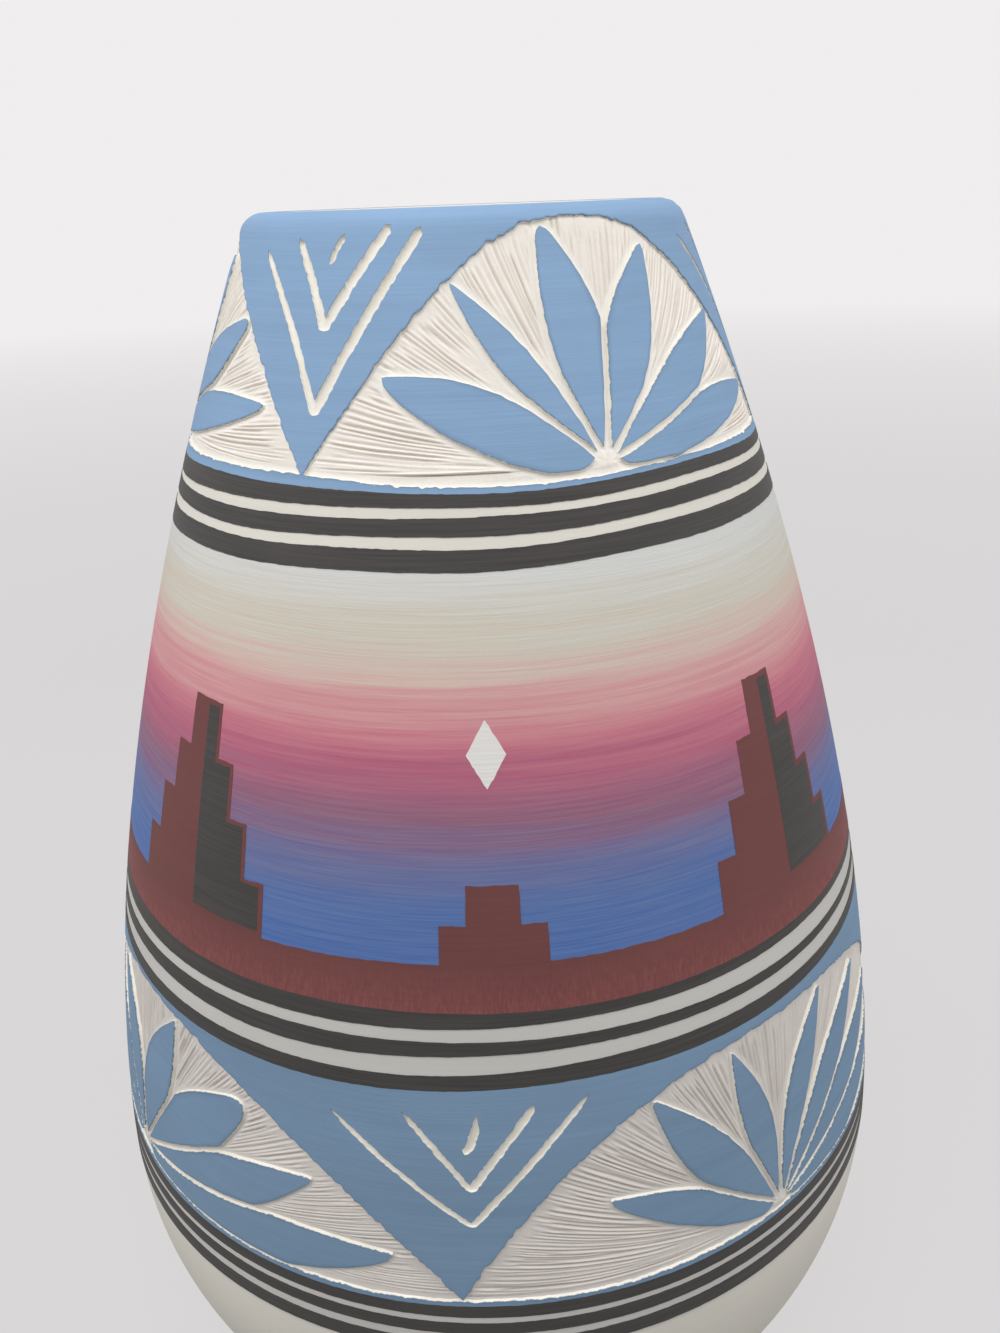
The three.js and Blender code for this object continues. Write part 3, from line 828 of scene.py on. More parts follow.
def sunset_paint(settings, nodes):
    """Brushed sunset, from pale grey through cream and rose down to violet and blue."""
    _, fine, clouds = nodes.group("wheel_streaks", 1.0, 1.0)
    grain = nodes.group("clay_grain", 1.0)["Height"]
    share = nodes.range(nodes.axis("Z"), SKY_BASE * MM, SKY_TOP * MM)
    strokes = nodes.range(nodes.noise((9, 9, 300), 6, 0.62), 0.25, 0.75, -0.5, 0.5)
    loose = nodes.range(nodes.noise((20, 20, 900), 5, 0.6), 0.25, 0.75, -0.5, 0.5)
    upper = nodes.range(share, 0.45, 0.8)
    aside = nodes.math("DIVIDE", nodes.axis("X"), HANG_DISTANCE)
    hang = nodes.plus(nodes.times(aside, aside, HANG_BOTH), nodes.times(aside, HANG_RIGHT))
    share = nodes.plus(share, nodes.times(strokes, 0.075), nodes.times(loose, 0.12, upper), hang)
    colour = nodes.ramp(share, [(entry.place, scaled(entry.colour)) for entry in settings.sunset])
    colour = nodes.tint(colour, fine, 0.07, PALE_CLAY)
    colour = nodes.tint(colour, clouds, 0.05, SKY_CLOUD)
    colour = nodes.mix(nodes.group("specks", 0.6, 190.0)[0], colour, SKY_SPECK)
    normal = nodes.bump(nodes.plus(grain, fine), 0.3, 0.00007)
    nodes.surface(colour, 0.75, normal, Specular_IOR_Level=0.3)


def earth_paint(settings, nodes):
    """Red-brown earth paint, dry-brushed upright in its lower part."""
    earth = settings.earth
    _, fine, clouds = nodes.group("wheel_streaks", 0.8, 1.2)
    grain = nodes.group("clay_grain", 1.0)["Height"]
    upright = nodes.noise((2300, 2300, 240), 5, 0.7)
    level = nodes.range(nodes.axis("Z"), SKY_BASE * MM, EARTH_LEVEL * MM, 1.0, 0.0)
    colour = nodes.tint(scaled(earth, 0.88), clouds, 0.8, scaled(earth, 1.1))
    colour = nodes.tint(colour, fine, 0.25, scaled(earth, 1.4))
    colour = nodes.tint(colour, level, 0.35, LOW_EARTH)
    colour = nodes.tint(colour, nodes.times(nodes.range(upright, 0.42, 0.68), level), 0.35, DRY_EARTH)
    normal = nodes.bump(nodes.plus(grain, upright), 0.25, 0.00007)
    nodes.surface(colour, 0.72, normal, Specular_IOR_Level=0.3)


def white_paint(settings, nodes):
    """White brush marks, thinner in streaks."""
    fine = nodes.group("wheel_streaks", 1.2, 2.0)["Fine"]
    colour = nodes.tint(WHITE, fine, 0.4, THIN_WHITE)
    nodes.surface(colour, 0.7, nodes.bump(fine, 0.3, 0.00006), Specular_IOR_Level=0.3)


def clear_glaze(settings, nodes):
    """Gloss glaze over pale clay, pooling a little darker in fine cracks."""
    cells = nodes.add("ShaderNodeTexVoronoi", feature="DISTANCE_TO_EDGE")
    nodes.link(nodes.place(), cells.inputs["Vector"])
    cells.inputs["Scale"].default_value = 130.0
    crack = nodes.range(cells.outputs["Distance"], 0.0, 0.012, 1.0, 0.0)
    clouds = nodes.group("wheel_streaks", 0.5, 0.8)["Clouds"]
    colour = nodes.tint(scaled(settings.glaze, 0.9), clouds, 0.8, scaled(settings.glaze))
    colour = nodes.tint(colour, crack, 0.2, GLAZE_CRACK)
    nodes.surface(colour, 0.16, nodes.bump(clouds, 0.15, 0.0002), Specular_IOR_Level=0.5, Coat_Weight=0.6,
                  Coat_Roughness=0.06)


# Settings

class VaseColourStop(bpy.types.PropertyGroup):
    """One colour of the sunset and how far up the band it lies."""

    place: bpy.props.FloatProperty(name="Place", description="Share of the band's height", min=0, max=1)
    colour: bpy.props.FloatVectorProperty(
        name="Colour", description="Paint colour there", subtype="COLOR", size=3, min=0, max=1)


def colour_property(name, description, colour):
    return bpy.props.FloatVectorProperty(
        name=name, description=description, subtype="COLOR", size=3, min=0, max=1,
        default=linear(*colour)[:3])


def length_property(name, description, millimetres):
    return bpy.props.FloatProperty(
        name=name, description=description, subtype="DISTANCE", unit="LENGTH", default=millimetres * MM)


class VaseSettings(bpy.types.PropertyGroup):
    """Sizes and colours of the vase's finish."""

    groove: length_property("Groove", "Width of the V grooves", 1.7)
    scratch_pitch: length_property("Scratch Pitch", "Distance between scratches at the arch", 1.0)
    scratch_depth: length_property("Scratch Depth", "Depth of the deepest scratches", 0.28)
    outline_width: length_property("Outline Width", "Width of the smooth groove round a petal", 1.0)
    line_wander: length_property("Line Wander", "How far a painted line strays", 0.16)
    blue: colour_property("Blue Slip", "Colour of the blue slip", (136, 167, 201))
    clay: colour_property("Clay", "Colour of the bare stripes and foot", (231, 227, 217))
    etched_clay: colour_property("Etched Clay", "Colour of the scratched clay", (243, 236, 227))
    black: colour_property("Black", "Colour of the black lines", (50, 49, 48))
    earth: colour_property("Earth", "Colour of the earth paint", (108, 65, 63))
    glaze: colour_property("Inner Glaze", "Colour of the glazed inside", (226, 218, 202))
    background: colour_property("Background", "Colour of floor and backdrop", (240, 238, 238))
    sunset: bpy.props.CollectionProperty(
        type=VaseColourStop, name="Sunset", description="Colours of the sunset band, from below")
    key_power: bpy.props.FloatProperty(
        name="Key Light", description="Power of the large soft lamp", default=2.2, min=0, unit="POWER")
    fill_level: bpy.props.FloatProperty(
        name="Fill", description="Level of the light from all round", default=0.5, min=0)


def settings_of(context):
    """The vase's settings, with the sunset's colours put in the first time."""
    settings = context.scene.vase
    if not settings.sunset:
        for place, colour in SUNSET:
            stop = settings.sunset.add()
            stop.place = place
            stop.colour = linear(*colour)[:3]
    return settings


# Clay body and glaze

def inner_outline():
    """Outline of the inside, from under the lip down the wall and over a rounding to the floor's middle."""
    foot_height = FLOOR + FLOOR_FILLET
    for _ in range(30):
        foot_height = FLOOR + FLOOR_FILLET + WALL * math.sin(wall_tilt(foot_height))
    wall = profile_points(HEIGHT - LIP_DEPTH, foot_height, 40, WALL)
    edge = wall[-1][0] - 2 * FLOOR_FILLET
    rounding = [(edge + 2 * FLOOR_FILLET * math.cos(a) ** 1.2,
                 FLOOR + FLOOR_FILLET * (1 - math.sin(a)) ** 1.2) for a in np.linspace(0.2, 1.4, 6)]
    return wall + rounding + [(edge, FLOOR), (0.0, FLOOR)]


def arc(centre, radius, start, end):
    """Points of a round in the outline, by angles from the outward direction."""
    return [
        (centre[0] + radius * math.cos(a * DEGREE), centre[1] + radius * math.sin(a * DEGREE))
        for a in np.linspace(start, end, 6)
    ]


def clay_outline():
    """Outline of the clay body from the middle of its base, up its outside and down its inside."""
    ring_outer = FOOT_RADIUS - FOOT_EDGE
    ring_inner = ring_outer - FOOT_RING_WIDTH
    points = [(0.0, FOOT_RECESS), (ring_inner - FOOT_RECESS, FOOT_RECESS)]
    points += arc((ring_inner, FOOT_RECESS), FOOT_RECESS, 180, 270)[1:]
    points.append((ring_outer - 1.0, 0.0))
    foot = float(profile(FOOT_EDGE, 0)[0])
    points += [(foot - (1 - math.sin(a)) * 1.2, FOOT_EDGE * (1 - math.cos(a)))
               for a in np.linspace(0.25, 1.4, 5)]
    levels = [
        (FOOT_EDGE, FOOT_LINES_BASE - 0.6, 24, BARE_CLAY),
        (FOOT_LINES_BASE - 0.5, LOWER_LINE_BASE + 0.4, 6, BARE_CLAY),
        (LOWER_LINE_BASE + 0.5, LOWER_FIELD_TOP - 0.6, 14, UNDER_ETCHING),
        (LOWER_FIELD_TOP - 0.5, SKY_BASE + 0.4, 6, BARE_CLAY),
        (SKY_BASE + 0.5, SKY_TOP - 0.5, 20, UNDER_COATS),
        (SKY_TOP - 0.4, UPPER_LINE_BASE - 0.8, 6, BARE_CLAY),
        (UPPER_LINE_BASE - 0.7, LIP_START, 14, UNDER_ETCHING),
        (LIP_START + 0.3, LIP_END, 8, UNDER_ETCHING),
    ]
    for low, high, count, depth in levels:
        points += profile_points(low, high, count + 1, depth)
    flat_end = LIP_CENTRE - LIP_FLAT
    points.append((flat_end + 0.6, HEIGHT - UNDER_ETCHING))
    points.append((flat_end + 0.5, HEIGHT - BARE_CLAY))
    points += arc((flat_end, HEIGHT - BARE_CLAY - LIP_INNER_RADIUS), LIP_INNER_RADIUS, 90, 180)
    return points + inner_outline()


class VASE_OT_clay_body(bpy.types.Operator):
    """Turns the clay body with its foot ring, lip and hollow inside"""

    bl_idname = "vase.clay_body"
    bl_label = "Clay Body"

    def execute(self, context):
        piece = turned_piece("clay_body_turned", clay_outline())
        finish_piece(piece, bare_clay, ["clay_body"], angle=40)
        return {"FINISHED"}


class VASE_OT_inner_glaze(bpy.types.Operator):
    """Lays the gloss glaze over the inner wall and the floor"""

    bl_idname = "vase.inner_glaze"
    bl_label = "Inner Glaze"

    def execute(self, context):
        base = inner_outline()
        wall_foot = base[-2][0] + 2 * FLOOR_FILLET

        def face(gap):
            return [(max(0.0, radius - gap), level + (gap if radius < wall_foot else 0))
                    for radius, level in base]

        piece = turned_piece("inner_glaze_coat", face(0.1)[::-1] + face(GLAZE_GAP + GLAZE), steps=192)
        finish_piece(piece, clear_glaze, ["inner_glaze"], angle=60)
        return {"FINISHED"}


# Painted rings

def black_ring(name, low, high, seed, wander, drifts):
    """A painted ring with hand-made edges, from one height to another."""
    turn = round_turns(RING_COLUMNS)
    length = turn * degree_length((low + high) / 2)
    drift = wobble(turn, seed, wander)
    low, high = (
        edge + drift + wobble(turn, seed + step, wander * EDGE_WANDER)
        + closed_rough(length, seed + step + 1, RING_FRAY) + hand_drift(turn, strayed)
        for edge, step, strayed in zip((low, high), (1, 3), drifts))
    share, depth = coat_section(4, BLACK_TOP, COAT)
    return wrapped_grid(name, on_vase(turn, low + (high - low) * share, depth))


class VASE_OT_black_lines(bpy.types.Operator):
    """Paints the nine black lines, each with its own uneven edges"""

    bl_idname = "vase.black_lines"
    bl_label = "Black Lines"

    def execute(self, context):
        wander = settings_of(context).line_wander / MM
        for group, (lines, drifts) in enumerate(LINE_DRIFTS.items()):
            for line in (1, 2, 3):
                node = f"{lines}_black_line_{line}"
                low, high = node_span(node)
                under, over = LINE_REACH.get((lines, line), (0.0, 0.0))
                piece = black_ring(f"{lines}_line_{line}", low - under, high + over,
                                   40 + group * 30 + line * 8, wander, drifts[line - 1])
                finish_piece(piece, black_paint, [node])
        return {"FINISHED"}


class VASE_OT_sunset(bpy.types.Operator):
    """Brushes the sunset band that lies under the earth and its terraces"""

    bl_idname = "vase.sunset"
    bl_label = "Sunset"

    def execute(self, context):
        share, depth = coat_section(24, SKY_TOP_DEPTH, UNDER_COATS - 0.05)
        height = SKY_BASE + 0.3 + (SKY_TOP + 1.0 - SKY_BASE) * share
        piece = wrapped_grid("sunset_band", on_vase(round_turns(SUNSET_COLUMNS), height, depth))
        finish_piece(piece, sunset_paint, ["sunset_sky"])
        return {"FINISHED"}


# Earth and terraces

def terrace_middles(offset):
    """Turns of the middles of the small terraces, or of the large ones half a step on."""
    return [(pair + offset) * FULL_TURN / TERRACE_PAIRS for pair in range(TERRACE_PAIRS)]


def terrace_steps(terrace, middle):
    """Corners of one stepped terrace, from its left foot over its top to its right foot."""
    steps, width, rise = terrace
    side = []
    for step in range(steps):
        reach = (steps - step) * width
        side += [(reach, step * rise), (reach, (step + 1) * rise)]
    return [(middle - r, h) for r, h in side] + [(middle + r, h) for r, h in side[::-1]]


def terrace_outline():
    """Corners of the earth's upper edge all round, as turns and rises."""
    corners = []
    for small, large in zip(terrace_middles(0.0), terrace_middles(0.5)):
        corners += terrace_steps(SMALL_TERRACE, small) + terrace_steps(LARGE_TERRACE, large)
    return corners + [(corners[0][0] + FULL_TURN, corners[0][1])]


def follow(corners, scale):
    """Evenly spaced points along an outline of straight runs: their turns and their rises."""
    points = []
    for (turn, rise), (next_turn, next_rise) in zip(corners, corners[1:]):
        length = math.hypot((next_turn - turn) * scale, next_rise - rise)
        count = max(1, round(length / TERRACE_SPACING))
        points += [(turn + (next_turn - turn) * i / count, rise + (next_rise - rise) * i / count)
                   for i in range(count)]
    return np.array(points + [corners[-1]]).T


def painted_patch(name, turn, low, high, top):
    """A patch of paint between two edges, given by turn, with both ends drawn in to a point."""
    share, depth = coat_section(6, top, MARK_ROOT)
    height = low[:, None] + (high - low)[:, None] * share
    fields = []
    for field in (turn[:, None], height, depth):
        field = np.broadcast_to(field, height.shape)
        ends = [np.repeat(end.mean(axis=1, keepdims=True), field.shape[1], axis=1)
                for end in (field[:1], field[-1:])]
        fields.append(np.concatenate([ends[0], field, ends[1]]))
    return wrapped_grid(name, on_vase(*fields))


def terrace_shade(name, middle, scale, seed):
    """The dark right half of one large terrace, a little inside its steps."""
    steps, width, rise = LARGE_TERRACE
    corners = []
    edge = middle + 0.3 / scale
    for step in range(1, steps + 1):
        level = (steps - step + 1) * rise - SHADE_INSET
        reach = middle + step * width - SHADE_INSET / scale
        corners += [(edge, level), (reach, level)]
        edge = reach
    turn, rise = follow(corners, scale)
    length = np.arange(len(turn)) * TERRACE_SPACING
    turn = turn + rough(length, seed, 0.12, 1.1) / scale
    high = EARTH_LEVEL + rise + rough(length, seed + 1, 0.1, 1.1)
    low = EARTH_LEVEL + 0.6 + rough(length, seed + 2, 0.12, 1.4)
    return painted_patch(name, turn, low, high, BLACK_TOP)


def lozenge(name, middle, scale, seed):
    """A small white lozenge in the sky."""
    half_width, half_height, rise = LOZENGE
    across = np.linspace(-1, 1, 33)
    reach = half_height * (1 - np.abs(across))
    ragged = 1 - np.abs(across) ** 6
    low = EARTH_LEVEL + rise - reach - rough(across * 9, seed, 0.12, 0.9) * ragged
    high = EARTH_LEVEL + rise + reach + rough(across * 9, seed + 1, 0.12, 0.9) * ragged
    return painted_patch(name, middle + across * half_width / scale, low, high, WHITE_TOP)


class VASE_OT_earth(bpy.types.Operator):
    """Paints the red earth with its stepped terraces"""

    bl_idname = "vase.earth"
    bl_label = "Earth and Terraces"

    def execute(self, context):
        scale = float(degree_length(EARTH_LEVEL))
        turn, rise = follow(terrace_outline(), scale)
        length = np.append(0, np.cumsum(np.hypot(np.diff(turn) * scale, np.diff(rise))))
        rise = rise + closed_rough(length, 6, *TERRACE_CHIPS) + wobble(turn, 7, 0.25)
        turn = turn + closed_rough(length, 5, *TERRACE_CHIPS) / scale
        share, depth = coat_section(12, EARTH_TOP, UNDER_COATS)
        base = SKY_BASE - 0.25
        height = base + (EARTH_LEVEL + rise[:, None] - base) * share
        piece = wrapped_grid("red_earth_band", on_vase(turn[:, None], height, depth))
        finish_piece(piece, earth_paint, ["red_earth"])
        return {"FINISHED"}


class VASE_OT_marks(bpy.types.Operator):
    """Paints the dark halves of the large terraces and a white lozenge over each small one"""

    bl_idname = "vase.marks"
    bl_label = "Terrace Marks"

    def execute(self, context):
        scale = float(degree_length(EARTH_LEVEL + 12))
        for index, middle in enumerate(terrace_middles(0.5)):
            piece = terrace_shade(f"terrace_shade_{index + 1}", middle, scale, 900 + index * 5)
            finish_piece(piece, black_paint)
        for index, middle in enumerate(terrace_middles(0.0)):
            piece = lozenge(f"lozenge_{index + 1}", middle, scale, 940 + index * 5)
            finish_piece(piece, white_paint)
        return {"FINISHED"}


# Etched bands

def arch_height(band, arch, share):
    return band.rise * (1 - np.abs(share) ** arch.power)


def arch_line(band, arch, spacing):
    """The curve of one arch, evenly spaced: turns, heights and the length along it."""
    share = np.linspace(-1, 1, 2001)
    turn = arch.middle + share * arch.half
    height = band.ground + arch_height(band, arch, share)
    scale = degree_length(height)
    steps = np.hypot(np.diff(turn) * (scale[1:] + scale[:-1]) / 2, np.diff(height))
    length = np.append(0, np.cumsum(steps))
    even = np.linspace(0, length[-1], max(8, round(length[-1] / spacing)) + 1)
    return np.interp(even, length, turn), np.interp(even, length, height), even


def shifted(turn, height, distance):
    """A line on the vase, moved to its left by a distance in millimetres."""
    scale = degree_length(height)
    along = np.gradient(turn) * scale
    up = np.gradient(height)
    size = np.hypot(along, up)
    return turn - up / size * distance / scale, height + along / size * distance


def fan_foot(band, arch):
    return np.array([arch.middle + arch.aside, band.ground + FAN_LIFT + arch.lift])


def petal_frame(band, arch, petal):
    """Foot, tip, length and heading of a petal, and its side step in turn and height for a millimetre."""
    foot = fan_foot(band, arch)
    tip = np.array([arch.middle + petal.across * arch.half,
                    band.ground + petal.up * arch_height(band, arch, petal.across)])
    scale = float(degree_length((foot[1] + tip[1]) / 2))
    along = np.array([(tip[0] - foot[0]) * scale, tip[1] - foot[1]])
    length = float(np.hypot(*along))
    along = along / length
    side = np.array([-along[1] / scale, along[0]])
    return foot, tip, length, side, math.atan2(along[1], along[0])


def petal_swells(arch, petal):
    """How far a petal swells to its left and right in one fan."""
    return petal.left, petal.right + arch.swell


def petal_edges(band, arch, petals, index):
    """A petal's spine and side step, and how far it reaches to its left and right, at even shares."""
    petal = petals[index]
    foot, tip, length, side, heading = petal_frame(band, arch, petal)
    share = np.linspace(PETAL_START / length, 1, PETAL_STEPS + 1)
    distance = share * length
    left_over = np.clip((1 - share) * length / max(petal.blunt, 0.2), 0, 1)
    blunt = petal.blunt / 2 * np.sqrt(1 - (1 - left_over) ** 2) + 0.02
    start = np.clip((distance - PETAL_START) / 2.2, 0, 1)
    start = np.maximum(np.sqrt(1 - (1 - start) ** 2), 0.01)
    edges = []
    for edge, neighbour in ((0, index - 1), (1, index + 1)):
        own = petal_swells(arch, petal)[edge]
        if 0 <= neighbour < len(petals):
            other = petal_frame(band, arch, petals[neighbour])[4]
            facing = petal_swells(arch, petals[neighbour])[1 - edge]
            room = distance * math.tan(abs(other - heading) * own / (own + facing)) - PARTING / 2
            lean, fullness = INNER_SIDE
        else:
            room = distance * abs(math.tan(heading)) + FAN_LIFT + arch.lift - 0.25
            lean, fullness = GROUND_SIDE
        swell = np.clip(np.sin(np.pi * share ** lean), 0, 1) ** fullness
        edges.append(np.minimum(own * swell + blunt, np.maximum(room, 0.02)) * start)
    return foot + (tip - foot) * share[:, None], side, share, edges[0], edges[1]


def petal_line(band, arch, petals, index):
    """The outline of a petal as turns and heights, up its left side and down its right side."""
    spine, side, _, left, right = petal_edges(band, arch, petals, index)
    return np.concatenate([spine + side * left[:, None], (spine - side * right[:, None])[::-1]])


def distance_to_line(turn, height, line, far=99.0):
    """Distance in millimetres from points on the vase to an outline."""
    scale = degree_length(height)
    best = np.full(turn.shape, far)
    for start, end in zip(line[:-1], line[1:]):
        run = ((end[0] - start[0]) * scale, end[1] - start[1])
        gap = ((turn - start[0]) * scale, height - start[1])
        size = run[0] ** 2 + run[1] ** 2 + 1e-9
        share = np.clip((gap[0] * run[0] + gap[1] * run[1]) / size, 0, 1)
        best = np.minimum(best, np.hypot(gap[0] - share * run[0], gap[1] - share * run[1]))
    return best


def etched_edge(band, arch):
    """Edge of the scratched ground, over the arch and back along its base: turns, heights and lengths."""
    turn, height, length = arch_line(band, arch, GROUND_SPACING)
    turn, height = shifted(turn, height, 0.9)
    low_turn, high_turn = arch.middle - arch.half, arch.middle + arch.half
    turn = np.clip(turn, low_turn, high_turn)
    height = np.maximum(height, band.base)
    under = np.linspace(high_turn, low_turn, GROUND_BASE_COLUMNS)
    corner = (band.ground + band.base) / 2
    turn = np.concatenate([turn, [high_turn], under, [low_turn, turn[0]]])
    height = np.concatenate([height, [corner], np.full(len(under), band.base), [corner, height[0]]])
    length = np.concatenate([length, np.full(len(under) + 3, length[-1])])
    return turn[:, None], height[:, None], length[:, None]


def scratches(length, share, pitch, seed):
    """How deep the scratches run along the rays of a fan, and how high the burr beside them."""
    rng = np.random.default_rng(seed)
    scratch = np.zeros((len(length), share.size))
    ridge = np.zeros_like(scratch)
    centre = -1.0
    while centre < length[-1, 0] + 1:
        centre += pitch * rng.uniform(*SCRATCH_SPACING)
        width = rng.uniform(*SCRATCH_WIDTHS)
        start = rng.uniform(*(LONG_STARTS if rng.uniform() < LONG_SCRATCHES else SHORT_STARTS))
        end = rng.uniform(*SCRATCH_ENDS)
        bend = rng.uniform(-SCRATCH_BEND, SCRATCH_BEND)
        sway = rng.uniform(0, 6.28)
        path = centre + bend * (share - 0.8) ** 2 * 3 + SCRATCH_WAVE * np.sin(share * 21 + sway)
        lateral = (length - path) * np.maximum(share, 0.12)
        groove = 0.5 + 0.5 * np.cos(np.pi * np.clip(np.abs(lateral / width), 0, 1))
        fade = smooth_step(share, start, start + 0.12) * (1 - smooth_step(share, end - 0.05, end))
        weight = rng.uniform(*SCRATCH_WEIGHTS)
        scratch = np.maximum(scratch, groove * fade * weight)
        burr = np.exp(-((np.abs(lateral) - width * 1.4) / BURR_WIDTH) ** 2)
        ridge = np.maximum(ridge, burr * fade * weight)
    return scratch, ridge


def etched_ground(name, band, arch, petals, seed, settings):
    """Scratched clay inside one arch: rays of a grid run from the fan's foot out to the arch and back."""
    edge_turn, edge_height, length = etched_edge(band, arch)
    foot = fan_foot(band, arch)
    share = np.linspace(0, 1, GROUND_ROWS + 1)[None, :] ** 0.85
    back = np.linspace(1, 0, GROUND_BACK_ROWS + 1)[None, :]
    rays = np.append(share, back, axis=1)
    all_turns = foot[0] + (edge_turn - foot[0]) * rays
    all_heights = foot[1] + (edge_height - foot[1]) * rays
    turns, heights = all_turns[:, :share.size], all_heights[:, :share.size]

    scratch, ridge = scratches(length, share, settings.scratch_pitch / MM, seed)
    line_top = band.ground - 0.3 + hand_drift(turns, band.line_drifts[1])
    above = smooth_step(heights, line_top + 0.8, line_top + 1.6)
    scratch *= above
    ridge *= above

    near = np.minimum.reduce([distance_to_line(turns, heights, petal_line(band, arch, petals, index))
                              for index in range(len(petals))])
    rim = distance_to_line(turns, heights, np.stack(arch_line(band, arch, 1.5)[:2], axis=1))
    width = settings.outline_width / MM
    outline = 1 - smooth_step(near, width * 0.75, width * 1.25)
    outline = np.maximum(outline, 0.55 * (1 - smooth_step(rim, width * 0.3, width * 0.9)))
    bottom = 1 - smooth_step(heights, line_top + 0.6, line_top + 1.3)
    outline = np.maximum(outline, bottom)
    groove = PETAL_GROOVE_DEPTH * np.clip(1 - (near / width) ** 2, 0, 1) + 0.08 * bottom
    scratch *= 1 - 0.85 * outline
    uneven = 0.08 * np.sin(length * 0.23 + seed) * np.sin(share * 5 + seed)

    away = np.hypot((turns - foot[0]) * degree_length(heights), heights - foot[1])
    crumbs = 0.5 + 0.5 * np.sin(turns * 2.9 + seed) * np.sin(heights * 3.7 + 1.3 * turns)
    lump = np.exp(-(away / FOOT_LUMP_RADIUS) ** 2)
    scratch = np.maximum(scratch, 0.5 * lump * crumbs)
    deepest = settings.scratch_depth / MM
    depth = ETCH_FLOOR - 0.1 + uneven + deepest * scratch - BURR_HEIGHT * ridge * (1 - outline) + groove
    depth -= lump * (0.3 + 0.15 * crumbs)
    depth = np.where(share < 1e-6, depth[0, 0], depth)

    def with_back(field, value):
        return np.append(field, np.full((len(field), back.size), value), axis=1)

    points = on_vase(all_turns, all_heights, with_back(depth, UNDER_ETCHING - 0.1))
    return wrapped_grid(name, points, scratch=with_back(scratch, 0), outline=with_back(outline, 0))


class VASE_OT_etched_grounds(bpy.types.Operator):
    """Scratches the clay inside every arch of both etched bands"""

    bl_idname = "vase.etched_grounds"
    bl_label = "Etched Grounds"

    def execute(self, context):
        settings = settings_of(context)
        for group, band in enumerate(BANDS):
            for index, (arch, petals) in enumerate(zip(band.arches, band.fans)):
                piece = etched_ground(f"{band.name}_etched_ground_{index + 1}", band, arch, petals,
                                      100 + index * 7 + group * 50, settings)
                finish_piece(piece, etched_clay, angle=80)
        return {"FINISHED"}


# Section of a petal, from its spine over its edge and back under it: share of the reach to the side,
# spread beyond it, depth, how far cut to the clay, and how much painted shadow along the edge
PETAL_SECTION = (
    (0.0, 0.0, SLIP_TOP, 0.0, 0.0),
    (0.45, 0.0, SLIP_TOP, 0.0, 0.0),
    (0.8, 0.0, SLIP_TOP, 0.0, 0.0),
    (0.93, 0.0, SLIP_TOP, 0.0, 0.35),
    (1.0, 0.0, SLIP_TOP + 0.02, 0.05, 1.0),
    (1.0, 0.3, SLIP_ROOT, 1.0, 1.0),
    (0.5, 0.0, SLIP_ROOT, 1.0, 0.0),
    (0.0, 0.0, SLIP_ROOT, 1.0, 0.0),
)

# A petal's chips are drawn along this length, whatever its own, and fade out at both ends
CHIP_LENGTH = 33


def petal_piece(name, band, arch, petals, index, seed):
    """One petal of standing slip: a ring of points drawn in to the spine above and below."""
    spine, side, share, left, right = petal_edges(band, arch, petals, index)
    left = left + rough(share * CHIP_LENGTH, seed, *PETAL_CHIPS) * np.sin(np.pi * share)
    right = right + rough(share * CHIP_LENGTH, seed + 1, *PETAL_CHIPS) * np.sin(np.pi * share)
    reach = np.concatenate([left, -right[::-1], left[:1]])[:, None]
    spine = np.concatenate([spine, spine[::-1], spine[:1]])
    shares, spread, depth, cut, rim = np.array(PETAL_SECTION).T
    across = reach * shares + np.sign(reach) * spread
    points = on_vase(spine[:, :1] + side[0] * across, spine[:, 1:] + side[1] * across, depth)
    return wrapped_grid(name, points, cut=cut, rim=rim)


class VASE_OT_petals(bpy.types.Operator):
    """Stands the leaf petals of every fan, each fan joined into one piece"""

    bl_idname = "vase.petals"
    bl_label = "Petals"

    def execute(self, context):
        for band in BANDS:
            for fan, (arch, petals) in enumerate(zip(band.arches, band.fans)):
                name = f"{band.name}_fan_{fan + 1}"
                piece = join([petal_piece(f"{name}_leaf_{index + 1}", band, arch, petals, index,
                                          300 + fan * 20 + index * 2) for index in range(len(petals))])
                piece.name = name
                nodes = [f"{name}_petal_{index + 1}" for index in range(FAN_NODES)]
                finish_piece(piece, blue_slip, nodes)
        return {"FINISHED"}


def field_edge(band, seed):
    """The wandering, chipped edge of a blue field all round, then its root: turns and heights of each."""
    stretches = []
    for index, arch in enumerate(band.arches):
        turn, height, length = arch_line(band, arch, FIELD_SPACING)
        ends = np.minimum(1, np.minimum(length, length[-1] - length) / 2.5)
        fine, coarse = FIELD_CHIPS
        chip = rough(length, seed + index, *fine) + rough(length, seed + index + 9, *coarse)
        teeth = np.maximum(0, rough(length, seed + index + 20, *FIELD_TEETH) - TEETH_FLOOR)
        edge = shifted(turn, height, (chip + teeth) * ends)
        root = shifted(turn, height, (chip - 0.35) * ends)
        stretches.append(np.array(edge + root)[:, :-1])
    joined = np.concatenate(stretches, axis=1)
    closing = joined[:, :1] + np.array([[FULL_TURN], [0], [FULL_TURN], [0]])
    return np.append(joined, closing, axis=1)[:, :, None]


